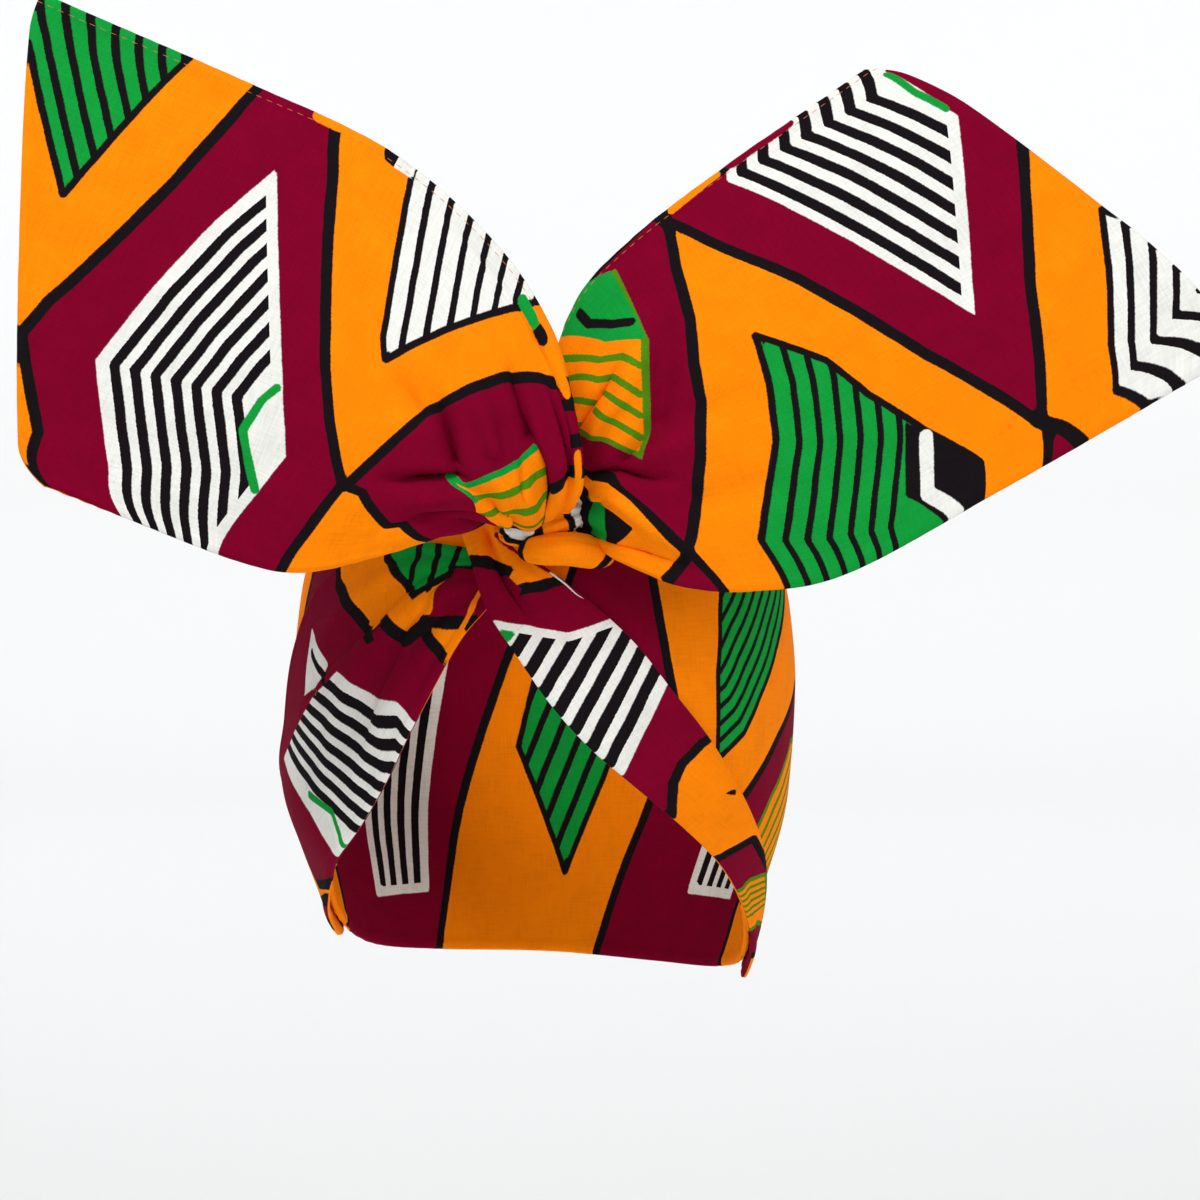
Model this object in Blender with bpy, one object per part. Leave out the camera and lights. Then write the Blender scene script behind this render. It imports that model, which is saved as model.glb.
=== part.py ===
"""Wired head wrap: one long doubled strip of printed cotton with wire in its edges.

The middle of the strip lies on the nape.  Its two sides come up round the head, cross in a
knot over the forehead and open out as two wide wired ends that stand up like ears.  The
lower margin of the strip is folded up as a cuff on each side of the forehead.

Frame: +X to the right as seen from the front, -Y to the front, +Z up.  The origin is in the
middle of the head that fills the wrap.  Left and right in the names are as seen from the
front.  Tables are in millimetres and degrees; an angle of 0 is the middle of the forehead
and +90 the side at +X.
"""

import math

import bmesh
import bpy
import numpy as np

METRES_PER_MM = 0.001

CLOTH_THICKNESS = 1.6
BAND_THICKNESS = 1.8
LAYER_GAP = 1.0
HEAD_GAP = 0.2

# The head that the wrap is tied round: height, half width, depth to the front and to the back.
HEAD_FORM = (
    # height, half_width, front, back
    (-125.0, 61.0, 62.0, 56.0),
    (-90.0, 68.0, 79.0, 67.0),
    (-60.0, 77.0, 92.0, 80.0),
    (-30.0, 80.5, 98.0, 91.0),
    (0.0, 80.5, 99.0, 97.0),
    (30.0, 75.0, 94.0, 95.0),
    (55.0, 62.0, 80.0, 84.0),
    (80.0, 40.0, 55.0, 62.0),
)

# The band round the head, from one side of the forehead by the nape to the other.
BAND_SECTIONS = (
    # angle, low_edge, high_edge, flare
    (0.8, 15.0, 41.0, 5.0),
    (9.0, -20.0, 46.0, 4.0),
    (20.0, -38.0, 52.0, 1.5),
    (32.0, -51.0, 55.0, 0.0),
    (48.0, -67.0, 54.0, 0.0),
    (66.0, -85.0, 49.0, 0.0),
    (90.0, -104.0, 40.0, 0.0),
    (115.0, -111.0, 32.0, 0.0),
    (145.0, -112.0, 26.0, 0.0),
    (180.0, -110.0, 23.0, 0.0),
    (215.0, -108.0, 25.0, 0.0),
    (245.0, -103.0, 32.0, 0.0),
    (268.0, -92.0, 40.0, 0.0),
    (290.0, -76.0, 48.0, 0.0),
    (308.0, -59.0, 53.0, 0.0),
    (324.0, -36.0, 55.0, 0.0),
    (338.0, -4.0, 51.0, 1.5),
    (350.0, 17.0, 46.0, 4.0),
    (359.2, 17.0, 41.0, 5.0),
)

# The cuffs: the fold line by the face and the sewn edge that lies on the band.
RIGHT_CUFF_SECTIONS = (
    # share, fold_angle, fold_height, seam_angle, seam_height, lift
    (0.00, -15.5, 33.0, -9.5, 38.0, 5.4),
    (0.07, -13.0, 24.0, -4.0, 28.0, 5.0),
    (0.15, -10.0, 11.0, 3.0, 20.5, 3.2),
    (0.23, -4.0, -3.0, 12.0, 10.0, 1.0),
    (0.33, 3.0, -18.0, 20.0, -1.0, 0.0),
    (0.44, 11.0, -31.0, 28.0, -15.0, 0.0),
    (0.55, 20.0, -42.0, 37.0, -29.0, 0.0),
    (0.66, 31.0, -54.0, 45.0, -42.0, 0.0),
    (0.76, 44.0, -67.0, 54.0, -56.0, 0.0),
    (0.85, 57.0, -80.0, 67.0, -73.0, 0.0),
    (0.93, 76.0, -98.0, 83.0, -90.0, 0.0),
    (1.00, 97.0, -113.0, 99.0, -108.0, 0.0),
)
LEFT_CUFF_SECTIONS = (
    # share, fold_angle, fold_height, seam_angle, seam_height, lift
    (0.00, -10.5, 13.0, -10.0, 27.0, 0.0),
    (0.10, -16.0, 5.0, -26.0, 30.0, 0.0),
    (0.20, -21.0, -7.0, -42.0, 28.0, 0.0),
    (0.32, -27.0, -21.0, -58.0, 18.0, 0.0),
    (0.44, -34.0, -36.0, -70.0, -3.0, 0.2),
    (0.56, -43.0, -51.0, -78.0, -25.0, 1.0),
    (0.66, -52.0, -62.0, -86.0, -42.0, 3.6),
    (0.76, -63.0, -72.0, -88.0, -59.0, 1.4),
    (0.90, -81.0, -87.0, -94.0, -80.0, 0.2),
    (1.00, -98.0, -99.0, -102.0, -95.0, 0.0),
)

# The ears: both wired edges from the knot out to the cut end.
LEFT_EAR_SECTIONS = (
    # share, low_x, low_y, low_z, high_x, high_y, high_z
    (0.00, -13.0, -116.3, 35.5, 9.0, -116.8, 40.0),
    (0.05, -16.0, -121.0, 34.5, 11.0, -122.0, 43.0),
    (0.14, -22.0, -126.0, 34.0, 12.5, -128.5, 51.0),
    (0.25, -33.0, -129.0, 31.0, 10.0, -132.5, 67.0),
    (0.40, -49.0, -130.0, 26.0, 4.0, -134.0, 90.0),
    (0.55, -69.0, -131.0, 22.0, -13.0, -133.0, 116.0),
    (0.70, -87.0, -134.0, 25.0, -44.0, -132.0, 143.0),
    (0.85, -114.0, -139.0, 35.0, -92.0, -135.0, 165.0),
    (1.00, -141.0, -146.0, 46.0, -143.0, -142.0, 186.0),
)
RIGHT_EAR_SECTIONS = (
    # share, low_x, low_y, low_z, high_x, high_y, high_z
    (0.00, 12.0, -103.4, 34.0, 5.0, -99.0, 48.0),
    (0.07, 16.0, -106.0, 31.5, 4.0, -102.0, 57.0),
    (0.15, 21.0, -110.0, 28.0, 4.0, -106.0, 67.0),
    (0.27, 29.0, -114.0, 23.5, 5.5, -109.0, 84.0),
    (0.41, 43.0, -118.0, 18.0, 14.0, -111.0, 105.0),
    (0.55, 63.0, -119.0, 17.0, 32.0, -112.0, 123.0),
    (0.70, 92.0, -117.0, 23.0, 54.0, -111.0, 140.0),
    (0.85, 139.0, -112.0, 49.0, 76.0, -108.0, 156.0),
    (1.00, 207.0, -106.0, 89.0, 99.0, -104.0, 173.0),
)

# How far the cut ends round outwards between their corners.
LEFT_END_ROUND = 5.0
RIGHT_END_ROUND = 8.0
END_REACH_POWER = 4
END_ROUND_POWER = 4

# How far each ear bows to the front between its two wires.
EAR_BOW = (
    # share, bow
    (0.00, 0.0),
    (0.14, 2.0),
    (0.30, 6.0),
    (0.55, 9.0),
    (0.80, 6.0),
    (1.00, 3.0),
)

# Gathers: ridges that run out from the knot and fade.  Across is 0 at the low edge.
FOLD_RISE = 0.2
ROOT_HEIGHT = 0.12
LEFT_EAR_FOLDS = (
    # start_across, end_share, end_across, half_width, height
    (0.10, 0.50, 0.06, 0.100, 3.6),
    (0.29, 0.56, 0.24, 0.110, 4.2),
    (0.54, 0.50, 0.50, 0.160, 5.0),
    (0.79, 0.62, 0.76, 0.110, 4.2),
    (0.96, 0.70, 0.98, 0.075, 3.6),
)
RIGHT_EAR_FOLDS = (
    # start_across, end_share, end_across, half_width, height
    (0.08, 0.50, 0.02, 0.100, 3.6),
    (0.30, 0.56, 0.14, 0.120, 4.2),
    (0.54, 0.50, 0.38, 0.130, 4.2),
    (0.76, 0.60, 0.66, 0.120, 4.0),
    (0.94, 0.66, 0.92, 0.090, 2.6),
)
LEFT_CUFF_FOLDS = (
    # start_across, end_share, end_across, half_width, height
    (0.16, 0.62, 0.12, 0.10, 1.6),
    (0.46, 0.70, 0.36, 0.11, 1.9),
    (0.78, 0.60, 0.70, 0.11, 1.6),
)
RIGHT_CUFF_FOLDS = (
    # start_across, end_share, end_across, half_width, height
    (0.30, 0.50, 0.40, 0.16, 1.3),
    (0.75, 0.40, 0.85, 0.14, 1.0),
)
BAND_FOLDS = (
    # start_across, end_share, end_across, half_width, height
    (0.86, 0.16, 0.88, 0.08, 2.2),
)

# The twist in the knot, and the rolled fold that crosses under the ears.
TWIST_PATH = (
    # share, x, y, z
    (0.00, -14.0, -107.8, 36.5),
    (0.50, -2.0, -108.6, 35.8),
    (1.00, 11.5, -107.6, 34.5),
)
TWIST_RADIUS = 4.6
TWIST_DEPTH = 1.35
TWIST_LOBES = 3
TWIST_TURN = 150.0
TWIST_LOBE_HEIGHT = 0.18
ROLL_PATH = (
    # share, x, y, z
    (0.00, -10.0, -113.0, 30.6),
    (0.30, -1.0, -118.0, 27.8),
    (0.65, 10.0, -118.5, 26.0),
    (1.00, 19.0, -113.5, 24.0),
)
ROLL_RADIUS = 4.2
ROLL_DEPTH = 1.0
ROLL_LOBE_HEIGHT = 0.0
TUBE_END_BLUNTNESS = 6

# How finely each piece is cut: steps along it and across it.
EAR_STEPS = (24, 24)
EAR_ROOT_CROWDING = 1.3
LEFT_CUFF_STEPS = (18, 12)
RIGHT_CUFF_STEPS = (18, 8)
BAND_STEPS = (56, 14)
TWIST_STEPS = (12, 16)
ROLL_STEPS = (12, 12)

MAROON = (0.235, 0.002, 0.032, 1.0)
ORANGE = (1.0, 0.275, 0.004, 1.0)
CLOTH_ROUGHNESS = 0.82


def smooth_row(rows, share):
    """Read a table at one share of its length, on a smooth curve through its rows."""
    keys = [row[0] for row in rows]
    last = len(rows) - 1
    index = 0
    while index < last - 1 and share > keys[index + 1]:
        index += 1
    values = [np.array(row[1:], dtype=float) for row in rows]

    def slope(i):
        before, after = max(i - 1, 0), min(i + 1, last)
        return (values[after] - values[before]) / (keys[after] - keys[before])

    span = keys[index + 1] - keys[index]
    t = min(max((share - keys[index]) / span, 0.0), 1.0)
    t2, t3 = t * t, t * t * t
    return ((2 * t3 - 3 * t2 + 1) * values[index] + (t3 - 2 * t2 + t) * span * slope(index)
            + (3 * t2 - 2 * t3) * values[index + 1] + (t3 - t2) * span * slope(index + 1))


def on_head(angle, height, lift):
    """Return the point over the head at an angle and a height, lifted off its surface."""
    half_width, front, back = smooth_row(HEAD_FORM, height)
    turn = math.radians(angle)
    depth = front if math.cos(turn) > 0 else back
    along_x = (half_width + lift) * math.sin(turn)
    along_y = -(depth + lift) * math.cos(turn)
    return np.array((along_x, along_y, height))


def fold_height(folds, share, across):
    """Add up the ridges of a table of gathers at one place on the cloth."""
    total = 0.0
    for start_across, end_share, end_across, half_width, height in folds:
        run = share / end_share
        if run >= 1.0:
            continue
        centre = start_across + (end_across - start_across) * run
        offset = (across - centre) / half_width
        if abs(offset) < 1.0:
            rise = min(share / FOLD_RISE, 1.0)
            grow = ROOT_HEIGHT + (1.0 - ROOT_HEIGHT) * rise * rise * (3.0 - 2.0 * rise)
            fade = grow * (1.0 - run * run) ** 2
            total += height * fade * 0.5 * (1.0 + math.cos(math.pi * offset))
    return total


def grid_normals(points):
    """Return the unit normal of the cloth at each point of a grid."""
    along = np.gradient(points, axis=0)
    across = np.gradient(points, axis=1)
    normals = np.cross(along, across)
    return normals / np.linalg.norm(normals, axis=2, keepdims=True)


def raise_folds(points, shares, acrosses, folds):
    """Lift a grid of cloth along its normals by its gathers."""
    normals = grid_normals(points)
    for i, share in enumerate(shares):
        for j, across in enumerate(acrosses):
            points[i, j] += normals[i, j] * fold_height(folds, share, across)
    return points


def cloth_rim(points):
    """Return the border of a grid in order, with the direction that leads off the cloth."""
    rows, columns = points.shape[:2]
    border = [(i, 0, 0, 1) for i in range(rows - 1)]
    border += [(rows - 1, j, -1, 0) for j in range(columns - 1)]
    border += [(i, columns - 1, 0, -1) for i in range(rows - 1, 0, -1)]
    border += [(0, j, 1, 0) for j in range(columns - 1, 0, -1)]
    rim = []
    for i, j, step_i, step_j in border:
        out = points[i, j] - points[i + step_i, j + step_j]
        if (i in (0, rows - 1)) and (j in (0, columns - 1)):
            inner_i = 1 if i == 0 else rows - 2
            inner_j = 1 if j == 0 else columns - 2
            out = points[i, j] - points[inner_i, inner_j]
        rim.append((i, j, out / np.linalg.norm(out)))
    return rim


def sheet_mesh(points, thickness):
    """Close a grid of middle points into one wall of cloth with a rounded rim."""
    rows, columns = points.shape[:2]
    half = thickness / 2.0
    normals = grid_normals(points)
    mesh = bmesh.new()
    front = [[mesh.verts.new(points[i, j] + normals[i, j] * half) for j in range(columns)]
             for i in range(rows)]
    back = [[mesh.verts.new(points[i, j] - normals[i, j] * half) for j in range(columns)]
            for i in range(rows)]
    for i in range(rows - 1):
        for j in range(columns - 1):
            mesh.faces.new((front[i][j], front[i + 1][j], front[i + 1][j + 1], front[i][j + 1]))
            mesh.faces.new((back[i][j], back[i][j + 1], back[i + 1][j + 1], back[i + 1][j]))
    rim = cloth_rim(points)
    edge = [mesh.verts.new(points[i, j] + out * half) for i, j, out in rim]
    for here in range(len(rim)):
        there = (here + 1) % len(rim)
        i, j = rim[here][:2]
        k, m = rim[there][:2]
        mesh.faces.new((front[i][j], front[k][m], edge[there], edge[here]))
        mesh.faces.new((edge[here], edge[there], back[k][m], back[i][j]))
    return mesh


def add_object(name, mesh, material):
    """Turn a mesh in millimetres into a smooth object with its faces outwards."""
    bmesh.ops.scale(mesh, vec=(METRES_PER_MM,) * 3, verts=mesh.verts)
    bmesh.ops.recalc_face_normals(mesh, faces=mesh.faces)
    data = bpy.data.meshes.new(name)
    mesh.to_mesh(data)
    mesh.free()
    data.shade_smooth()
    data.materials.append(material)
    piece = bpy.data.objects.new(name, data)
    bpy.context.collection.objects.link(piece)
    return piece


def steps(count, crowd=1.0):
    """Return shares from 0 to 1, closer together at the start where crowd is above 1."""
    return [(i / count) ** crowd for i in range(count + 1)]


def ear_points(sections, folds, end_round):
    """Lay out one ear between its two wired edges."""
    shares, acrosses = steps(EAR_STEPS[0], EAR_ROOT_CROWDING), steps(EAR_STEPS[1])
    points = np.zeros((len(shares), len(acrosses), 3))
    end = smooth_row(sections, 1.0)
    out = np.cross(end[3:] - end[:3], (0.0, 1.0, 0.0))
    out *= math.copysign(1.0, np.dot(out, end[:3])) / np.linalg.norm(out)
    for i, share in enumerate(shares):
        row = smooth_row(sections, share)
        low, high = row[:3], row[3:]
        bow = smooth_row(EAR_BOW, share)[0]
        reach = end_round * share ** END_REACH_POWER
        for j, part in enumerate(acrosses):
            points[i, j] = low + (high - low) * part
            points[i, j, 1] -= bow * math.sin(math.pi * part)
            points[i, j] += out * reach * (1.0 - (2.0 * part - 1.0) ** END_ROUND_POWER)
    if grid_normals(points)[-1, 0, 1] > 0:
        points, acrosses = points[:, ::-1].copy(), acrosses[::-1]
    return raise_folds(points, shares, acrosses, folds)


def cuff_points(sections, folds, counts):
    """Lay out one cuff over the band, from its fold line to its sewn edge."""
    shares, acrosses = steps(counts[0]), steps(counts[1])
    lift = HEAD_GAP + BAND_THICKNESS + LAYER_GAP + CLOTH_THICKNESS / 2.0
    points = np.zeros((len(shares), len(acrosses), 3))
    for i, share in enumerate(shares):
        fold_angle, fold_z, seam_angle, seam_z, stand_off = smooth_row(sections, share)
        for j, part in enumerate(acrosses):
            angle = fold_angle + (seam_angle - fold_angle) * part
            height = fold_z + (seam_z - fold_z) * part
            points[i, j] = on_head(angle, height, lift + stand_off)
    outward = points[0, 0] * (1.0, 1.0, 0.0)
    if np.dot(grid_normals(points)[0, 0], outward) < 0:
        points, acrosses = points[:, ::-1].copy(), acrosses[::-1]
    return raise_folds(points, shares, acrosses, folds)


def band_points():
    """Lay out the band round the sides and the back of the head."""
    first, last = BAND_SECTIONS[0][0], BAND_SECTIONS[-1][0]
    lift = HEAD_GAP + BAND_THICKNESS / 2.0
    shares, acrosses = steps(BAND_STEPS[0]), steps(BAND_STEPS[1])
    points = np.zeros((len(shares), len(acrosses), 3))
    for i, share in enumerate(shares):
        angle = first + (last - first) * share
        low, high, flare = smooth_row(BAND_SECTIONS, angle)
        for j, part in enumerate(acrosses):
            points[i, j] = on_head(angle, low + (high - low) * part, lift + flare * part ** 3)
    nearer_ends = [min(share, 1.0 - share) for share in shares]
    return raise_folds(points, nearer_ends, acrosses, BAND_FOLDS)


def tube_mesh(path, radius, depth, lobe_height, counts):
    """Sweep a closed roll of cloth along a short path, depth times as deep as it is high.

    Its lobes turn as they go, and both of its ends close roundly in a point.
    """
    along, around = counts
    mesh = bmesh.new()
    rings = []
    for share in steps(along):
        centre = smooth_row(path, share)
        ahead = smooth_row(path, min(share + 0.01, 1.0)) - smooth_row(path, max(share - 0.01, 0.0))
        ahead /= np.linalg.norm(ahead)
        side = np.cross(ahead, (0.0, 1.0, 0.0))
        side /= np.linalg.norm(side)
        up = np.cross(side, ahead)
        if share in (0.0, 1.0):
            rings.append([mesh.verts.new(centre)])
            continue
        size = radius * math.sqrt(1.0 - abs(2.0 * share - 1.0) ** TUBE_END_BLUNTNESS)
        ring = []
        for k in range(around):
            turn = 2.0 * math.pi * k / around
            phase = TWIST_LOBES * (turn + math.radians(TWIST_TURN) * share)
            reach = size * (1.0 + lobe_height * math.cos(phase))
            spoke = side * math.cos(turn) + up * math.sin(turn) * depth
            ring.append(mesh.verts.new(centre + reach * spoke))
        rings.append(ring)
    for here, there in zip(rings, rings[1:]):
        for k in range(around):
            n = (k + 1) % around
            if len(here) == 1:
                mesh.faces.new((here[0], there[n], there[k]))
            elif len(there) == 1:
                mesh.faces.new((here[k], here[n], there[0]))
            else:
                mesh.faces.new((here[k], here[n], there[n], there[k]))
    return mesh


def cloth_material(name, colour):
    """Make a plain matt cotton in one colour."""
    material = bpy.data.materials.new(name)
    material.use_nodes = True
    shader = material.node_tree.nodes["Principled BSDF"]
    shader.inputs["Base Color"].default_value = colour
    shader.inputs["Roughness"].default_value = CLOTH_ROUGHNESS
    shader.inputs["Metallic"].default_value = 0.0
    return material


def clear_scene():
    """Remove whatever the file opened with."""
    for old in list(bpy.data.objects):
        bpy.data.objects.remove(old, do_unlink=True)


def main():
    """Build every piece of the wrap."""
    clear_scene()
    maroon = cloth_material("maroon_cotton", MAROON)
    orange = cloth_material("orange_cotton", ORANGE)
    left_ear = ear_points(LEFT_EAR_SECTIONS, LEFT_EAR_FOLDS, LEFT_END_ROUND)
    right_ear = ear_points(RIGHT_EAR_SECTIONS, RIGHT_EAR_FOLDS, RIGHT_END_ROUND)
    add_object("left_ear", sheet_mesh(left_ear, CLOTH_THICKNESS), maroon)
    add_object("right_ear", sheet_mesh(right_ear, CLOTH_THICKNESS), orange)
    left_cuff = cuff_points(LEFT_CUFF_SECTIONS, LEFT_CUFF_FOLDS, LEFT_CUFF_STEPS)
    right_cuff = cuff_points(RIGHT_CUFF_SECTIONS, RIGHT_CUFF_FOLDS, RIGHT_CUFF_STEPS)
    add_object("left_cuff", sheet_mesh(left_cuff, CLOTH_THICKNESS), maroon)
    add_object("right_cuff", sheet_mesh(right_cuff, CLOTH_THICKNESS), maroon)
    add_object("head_band", sheet_mesh(band_points(), BAND_THICKNESS), orange)
    twist = tube_mesh(TWIST_PATH, TWIST_RADIUS, TWIST_DEPTH, TWIST_LOBE_HEIGHT, TWIST_STEPS)
    roll = tube_mesh(ROLL_PATH, ROLL_RADIUS, ROLL_DEPTH, ROLL_LOBE_HEIGHT, ROLL_STEPS)
    add_object("knot_twist", twist, maroon)
    add_object("knot_roll", roll, orange)


main()
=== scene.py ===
"""Wired head wrap, dressed: doubled printed cotton with its folds, seams and stitches.

The file is laid out as an add-on for the 3D view and is run as a script.  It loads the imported
solids as a fixed frame, puts a finely modelled piece of cloth in the place of each of them and
sets the stage.  Left and right are as seen from the front.  Tables are in millimetres and
degrees in the frame of the solids: +X to the right as seen from the front, -Y to the front,
+Z up.  On the flat cloth, "along" runs out from the knot and "across" runs up from the lower
edge of the strip, both in millimetres.
"""

import math
from collections import namedtuple

import bpy
import numpy as np
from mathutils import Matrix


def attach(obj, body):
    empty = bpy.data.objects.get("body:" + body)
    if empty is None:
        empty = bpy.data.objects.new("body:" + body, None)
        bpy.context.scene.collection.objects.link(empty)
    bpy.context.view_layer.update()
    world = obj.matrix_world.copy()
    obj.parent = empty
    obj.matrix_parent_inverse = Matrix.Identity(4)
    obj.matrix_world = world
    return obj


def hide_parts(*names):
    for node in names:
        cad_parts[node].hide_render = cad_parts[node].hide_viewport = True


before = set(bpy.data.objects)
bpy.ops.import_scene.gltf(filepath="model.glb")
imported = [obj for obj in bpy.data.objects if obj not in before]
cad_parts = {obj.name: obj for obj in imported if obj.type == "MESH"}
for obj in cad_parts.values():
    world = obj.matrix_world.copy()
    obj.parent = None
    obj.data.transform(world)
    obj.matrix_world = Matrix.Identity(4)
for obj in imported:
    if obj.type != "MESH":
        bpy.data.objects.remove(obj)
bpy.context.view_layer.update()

bl_info = {
    "name": "Wired head wrap",
    "version": (1, 0, 0),
    "blender": (4, 5, 0),
    "location": "3D View > Sidebar > Head wrap",
    "description": "Dresses the packed solids of a wired head wrap in printed cotton",
    "category": "Object",
}

MM = 0.001
STRIP_WIDTH = 131.0
LAYER_GAP = 1.0
INNER_GAP = 0.2

# The hollow inside the wrap: half its width, and how far it reaches to the front and the back.
INNER_FORM = (
    # height, half_width, front, back
    (-125.0, 61.0, 62.0, 56.0),
    (-90.0, 68.0, 79.0, 67.0),
    (-60.0, 77.0, 92.0, 80.0),
    (-30.0, 80.5, 98.0, 91.0),
    (0.0, 80.5, 99.0, 97.0),
    (30.0, 75.0, 94.0, 95.0),
    (55.0, 62.0, 80.0, 84.0),
    (80.0, 40.0, 55.0, 62.0),
)

# The band, from one side of the knot round the back to the other; angle 0 is the knot.
BAND_SECTIONS = (
    # angle, low_edge, high_edge, flare
    (0.8, 15.0, 41.0, 5.0),
    (9.0, -20.0, 46.0, 4.0),
    (20.0, -38.0, 52.0, 1.5),
    (32.0, -51.0, 55.0, 0.0),
    (48.0, -67.0, 54.0, 0.0),
    (66.0, -85.0, 49.0, 0.0),
    (90.0, -104.0, 40.0, 0.0),
    (115.0, -111.0, 32.0, 0.0),
    (145.0, -112.0, 26.0, 0.0),
    (180.0, -110.0, 23.0, 0.0),
    (215.0, -108.0, 25.0, 0.0),
    (245.0, -103.0, 32.0, 0.0),
    (268.0, -92.0, 40.0, 0.0),
    (290.0, -76.0, 48.0, 0.0),
    (308.0, -62.0, 53.0, 0.0),
    (324.0, -40.0, 55.0, 0.0),
    (338.0, -4.0, 51.0, 1.5),
    (350.0, 17.0, 46.0, 4.0),
    (359.2, 17.0, 41.0, 5.0),
)

# The cuffs: the fold line by the opening and the sewn edge that lies on the band.
RIGHT_CUFF_SECTIONS = (
    # share, fold_angle, fold_height, seam_angle, seam_height, lift
    (0.00, -15.5, 33.0, -9.5, 38.0, 5.4),
    (0.07, -13.0, 24.0, -4.0, 28.0, 5.0),
    (0.15, -10.0, 11.0, 3.0, 20.5, 3.2),
    (0.23, -4.0, -3.0, 12.0, 10.0, 1.0),
    (0.33, 3.0, -18.0, 20.0, -1.0, 0.0),
    (0.44, 11.0, -31.0, 28.0, -15.0, 0.0),
    (0.55, 20.0, -42.0, 37.0, -29.0, 0.0),
    (0.66, 31.0, -54.0, 45.0, -42.0, 0.0),
    (0.76, 44.0, -67.0, 54.0, -56.0, 0.0),
    (0.85, 57.0, -80.0, 67.0, -73.0, 0.0),
    (0.93, 76.0, -98.0, 83.0, -90.0, 0.0),
    (1.00, 97.0, -113.0, 99.0, -108.0, 0.0),
)
LEFT_CUFF_SECTIONS = (
    # share, fold_angle, fold_height, seam_angle, seam_height, lift
    (0.00, -10.5, 12.0, -10.0, 27.0, 0.0),
    (0.10, -16.0, 3.0, -26.0, 30.0, 0.0),
    (0.20, -21.0, -9.5, -42.0, 28.0, 0.0),
    (0.32, -27.0, -24.5, -58.0, 18.0, 0.0),
    (0.44, -34.0, -41.0, -70.0, -3.0, 0.2),
    (0.56, -43.0, -56.5, -78.0, -25.0, 1.0),
    (0.66, -51.5, -67.5, -86.0, -42.0, 3.4),
    (0.76, -62.0, -77.5, -88.0, -59.0, 1.4),
    (0.90, -80.0, -90.0, -94.0, -80.0, 0.2),
    (1.00, -98.0, -99.0, -102.0, -95.0, 0.0),
)

# The ears: both wired edges from the knot out to the cut end.
LEFT_EAR_SECTIONS = (
    # share, low_x, low_y, low_z, high_x, high_y, high_z
    (0.00, -15.5, -116.3, 38.5, 9.0, -116.8, 40.0),
    (0.05, -18.0, -121.0, 37.5, 11.0, -122.0, 43.0),
    (0.14, -23.0, -126.0, 35.2, 12.5, -128.5, 51.0),
    (0.25, -33.0, -129.0, 31.0, 10.0, -132.5, 67.0),
    (0.40, -49.0, -130.0, 26.0, 4.0, -134.0, 90.0),
    (0.55, -69.0, -131.0, 22.0, -13.0, -133.0, 116.0),
    (0.70, -87.0, -134.0, 25.0, -44.0, -132.0, 143.0),
    (0.85, -115.5, -139.0, 35.2, -92.0, -135.0, 165.0),
    (1.00, -146.0, -146.0, 46.5, -143.0, -142.0, 186.0),
)
RIGHT_EAR_SECTIONS = (
    # share, low_x, low_y, low_z, high_x, high_y, high_z
    (0.00, 12.0, -103.4, 34.0, 5.0, -99.0, 48.0),
    (0.07, 16.0, -106.0, 31.5, 4.0, -102.0, 57.0),
    (0.15, 21.0, -110.0, 28.0, 4.0, -106.0, 67.0),
    (0.27, 29.0, -114.0, 23.5, 5.5, -109.0, 84.0),
    (0.41, 43.0, -118.0, 18.0, 14.0, -111.0, 105.0),
    (0.55, 63.0, -119.0, 17.0, 32.0, -112.0, 123.0),
    (0.70, 92.0, -117.0, 23.0, 54.0, -111.0, 140.0),
    (0.85, 139.0, -112.0, 49.0, 76.0, -108.0, 156.0),
    (1.00, 207.0, -106.0, 89.0, 99.0, -104.0, 173.0),
)
# The cut ends: how far each bulges out and how far its high edge is longer than its low one, how
# much is rounded off at the two corners, and the share of the width that the rounding takes.
LEFT_END_ROUND = 1.6
RIGHT_END_ROUND = 8.0
END_REACH_POWER = 4
END_ROUND_POWER = 4
LEFT_CUT_OFFSET = 53.0
RIGHT_CUT_OFFSET = -43.0
LOW_CORNER_ROUND = 6.0
HIGH_CORNER_ROUND = 2.0
CORNER_REACH = 0.08

# How far each ear bows to the front between its two wires.
EAR_BOW = (
    # share, bow
    (0.00, 0.0),
    (0.14, 2.0),
    (0.30, 6.0),
    (0.55, 9.0),
    (0.80, 6.0),
    (1.00, 3.0),
)

# How far the middle of the left ear hangs down where it goes into the knot.
ROOT_SAG = (
    # share, sag
    (0.00, 4.6),
    (0.08, 3.2),
    (0.16, 0.8),
    (0.24, 0.0),
    (1.00, 0.0),
)
NO_SAG = ((0.0, 0.0), (1.0, 0.0))

# Gathers: ridges that run out from the knot and fade.  Across is 0 at the low edge.
FOLD_RISE = 0.2
ROOT_HEIGHT = 0.12
LEFT_EAR_FOLDS = (
    # start_across, end_share, end_across, half_width, height
    (0.10, 0.50, 0.06, 0.100, 3.6),
    (0.29, 0.56, 0.24, 0.110, 4.2),
    (0.54, 0.50, 0.50, 0.160, 5.0),
    (0.79, 0.62, 0.76, 0.110, 4.2),
    (0.96, 0.70, 0.98, 0.075, 3.6),
)
RIGHT_EAR_FOLDS = (
    # start_across, end_share, end_across, half_width, height
    (0.08, 0.40, 0.02, 0.120, 1.6),
    (0.30, 0.56, 0.14, 0.120, 3.0),
    (0.54, 0.50, 0.38, 0.130, 4.2),
    (0.76, 0.60, 0.66, 0.120, 4.0),
    (0.94, 0.66, 0.92, 0.090, 2.6),
)
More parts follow.
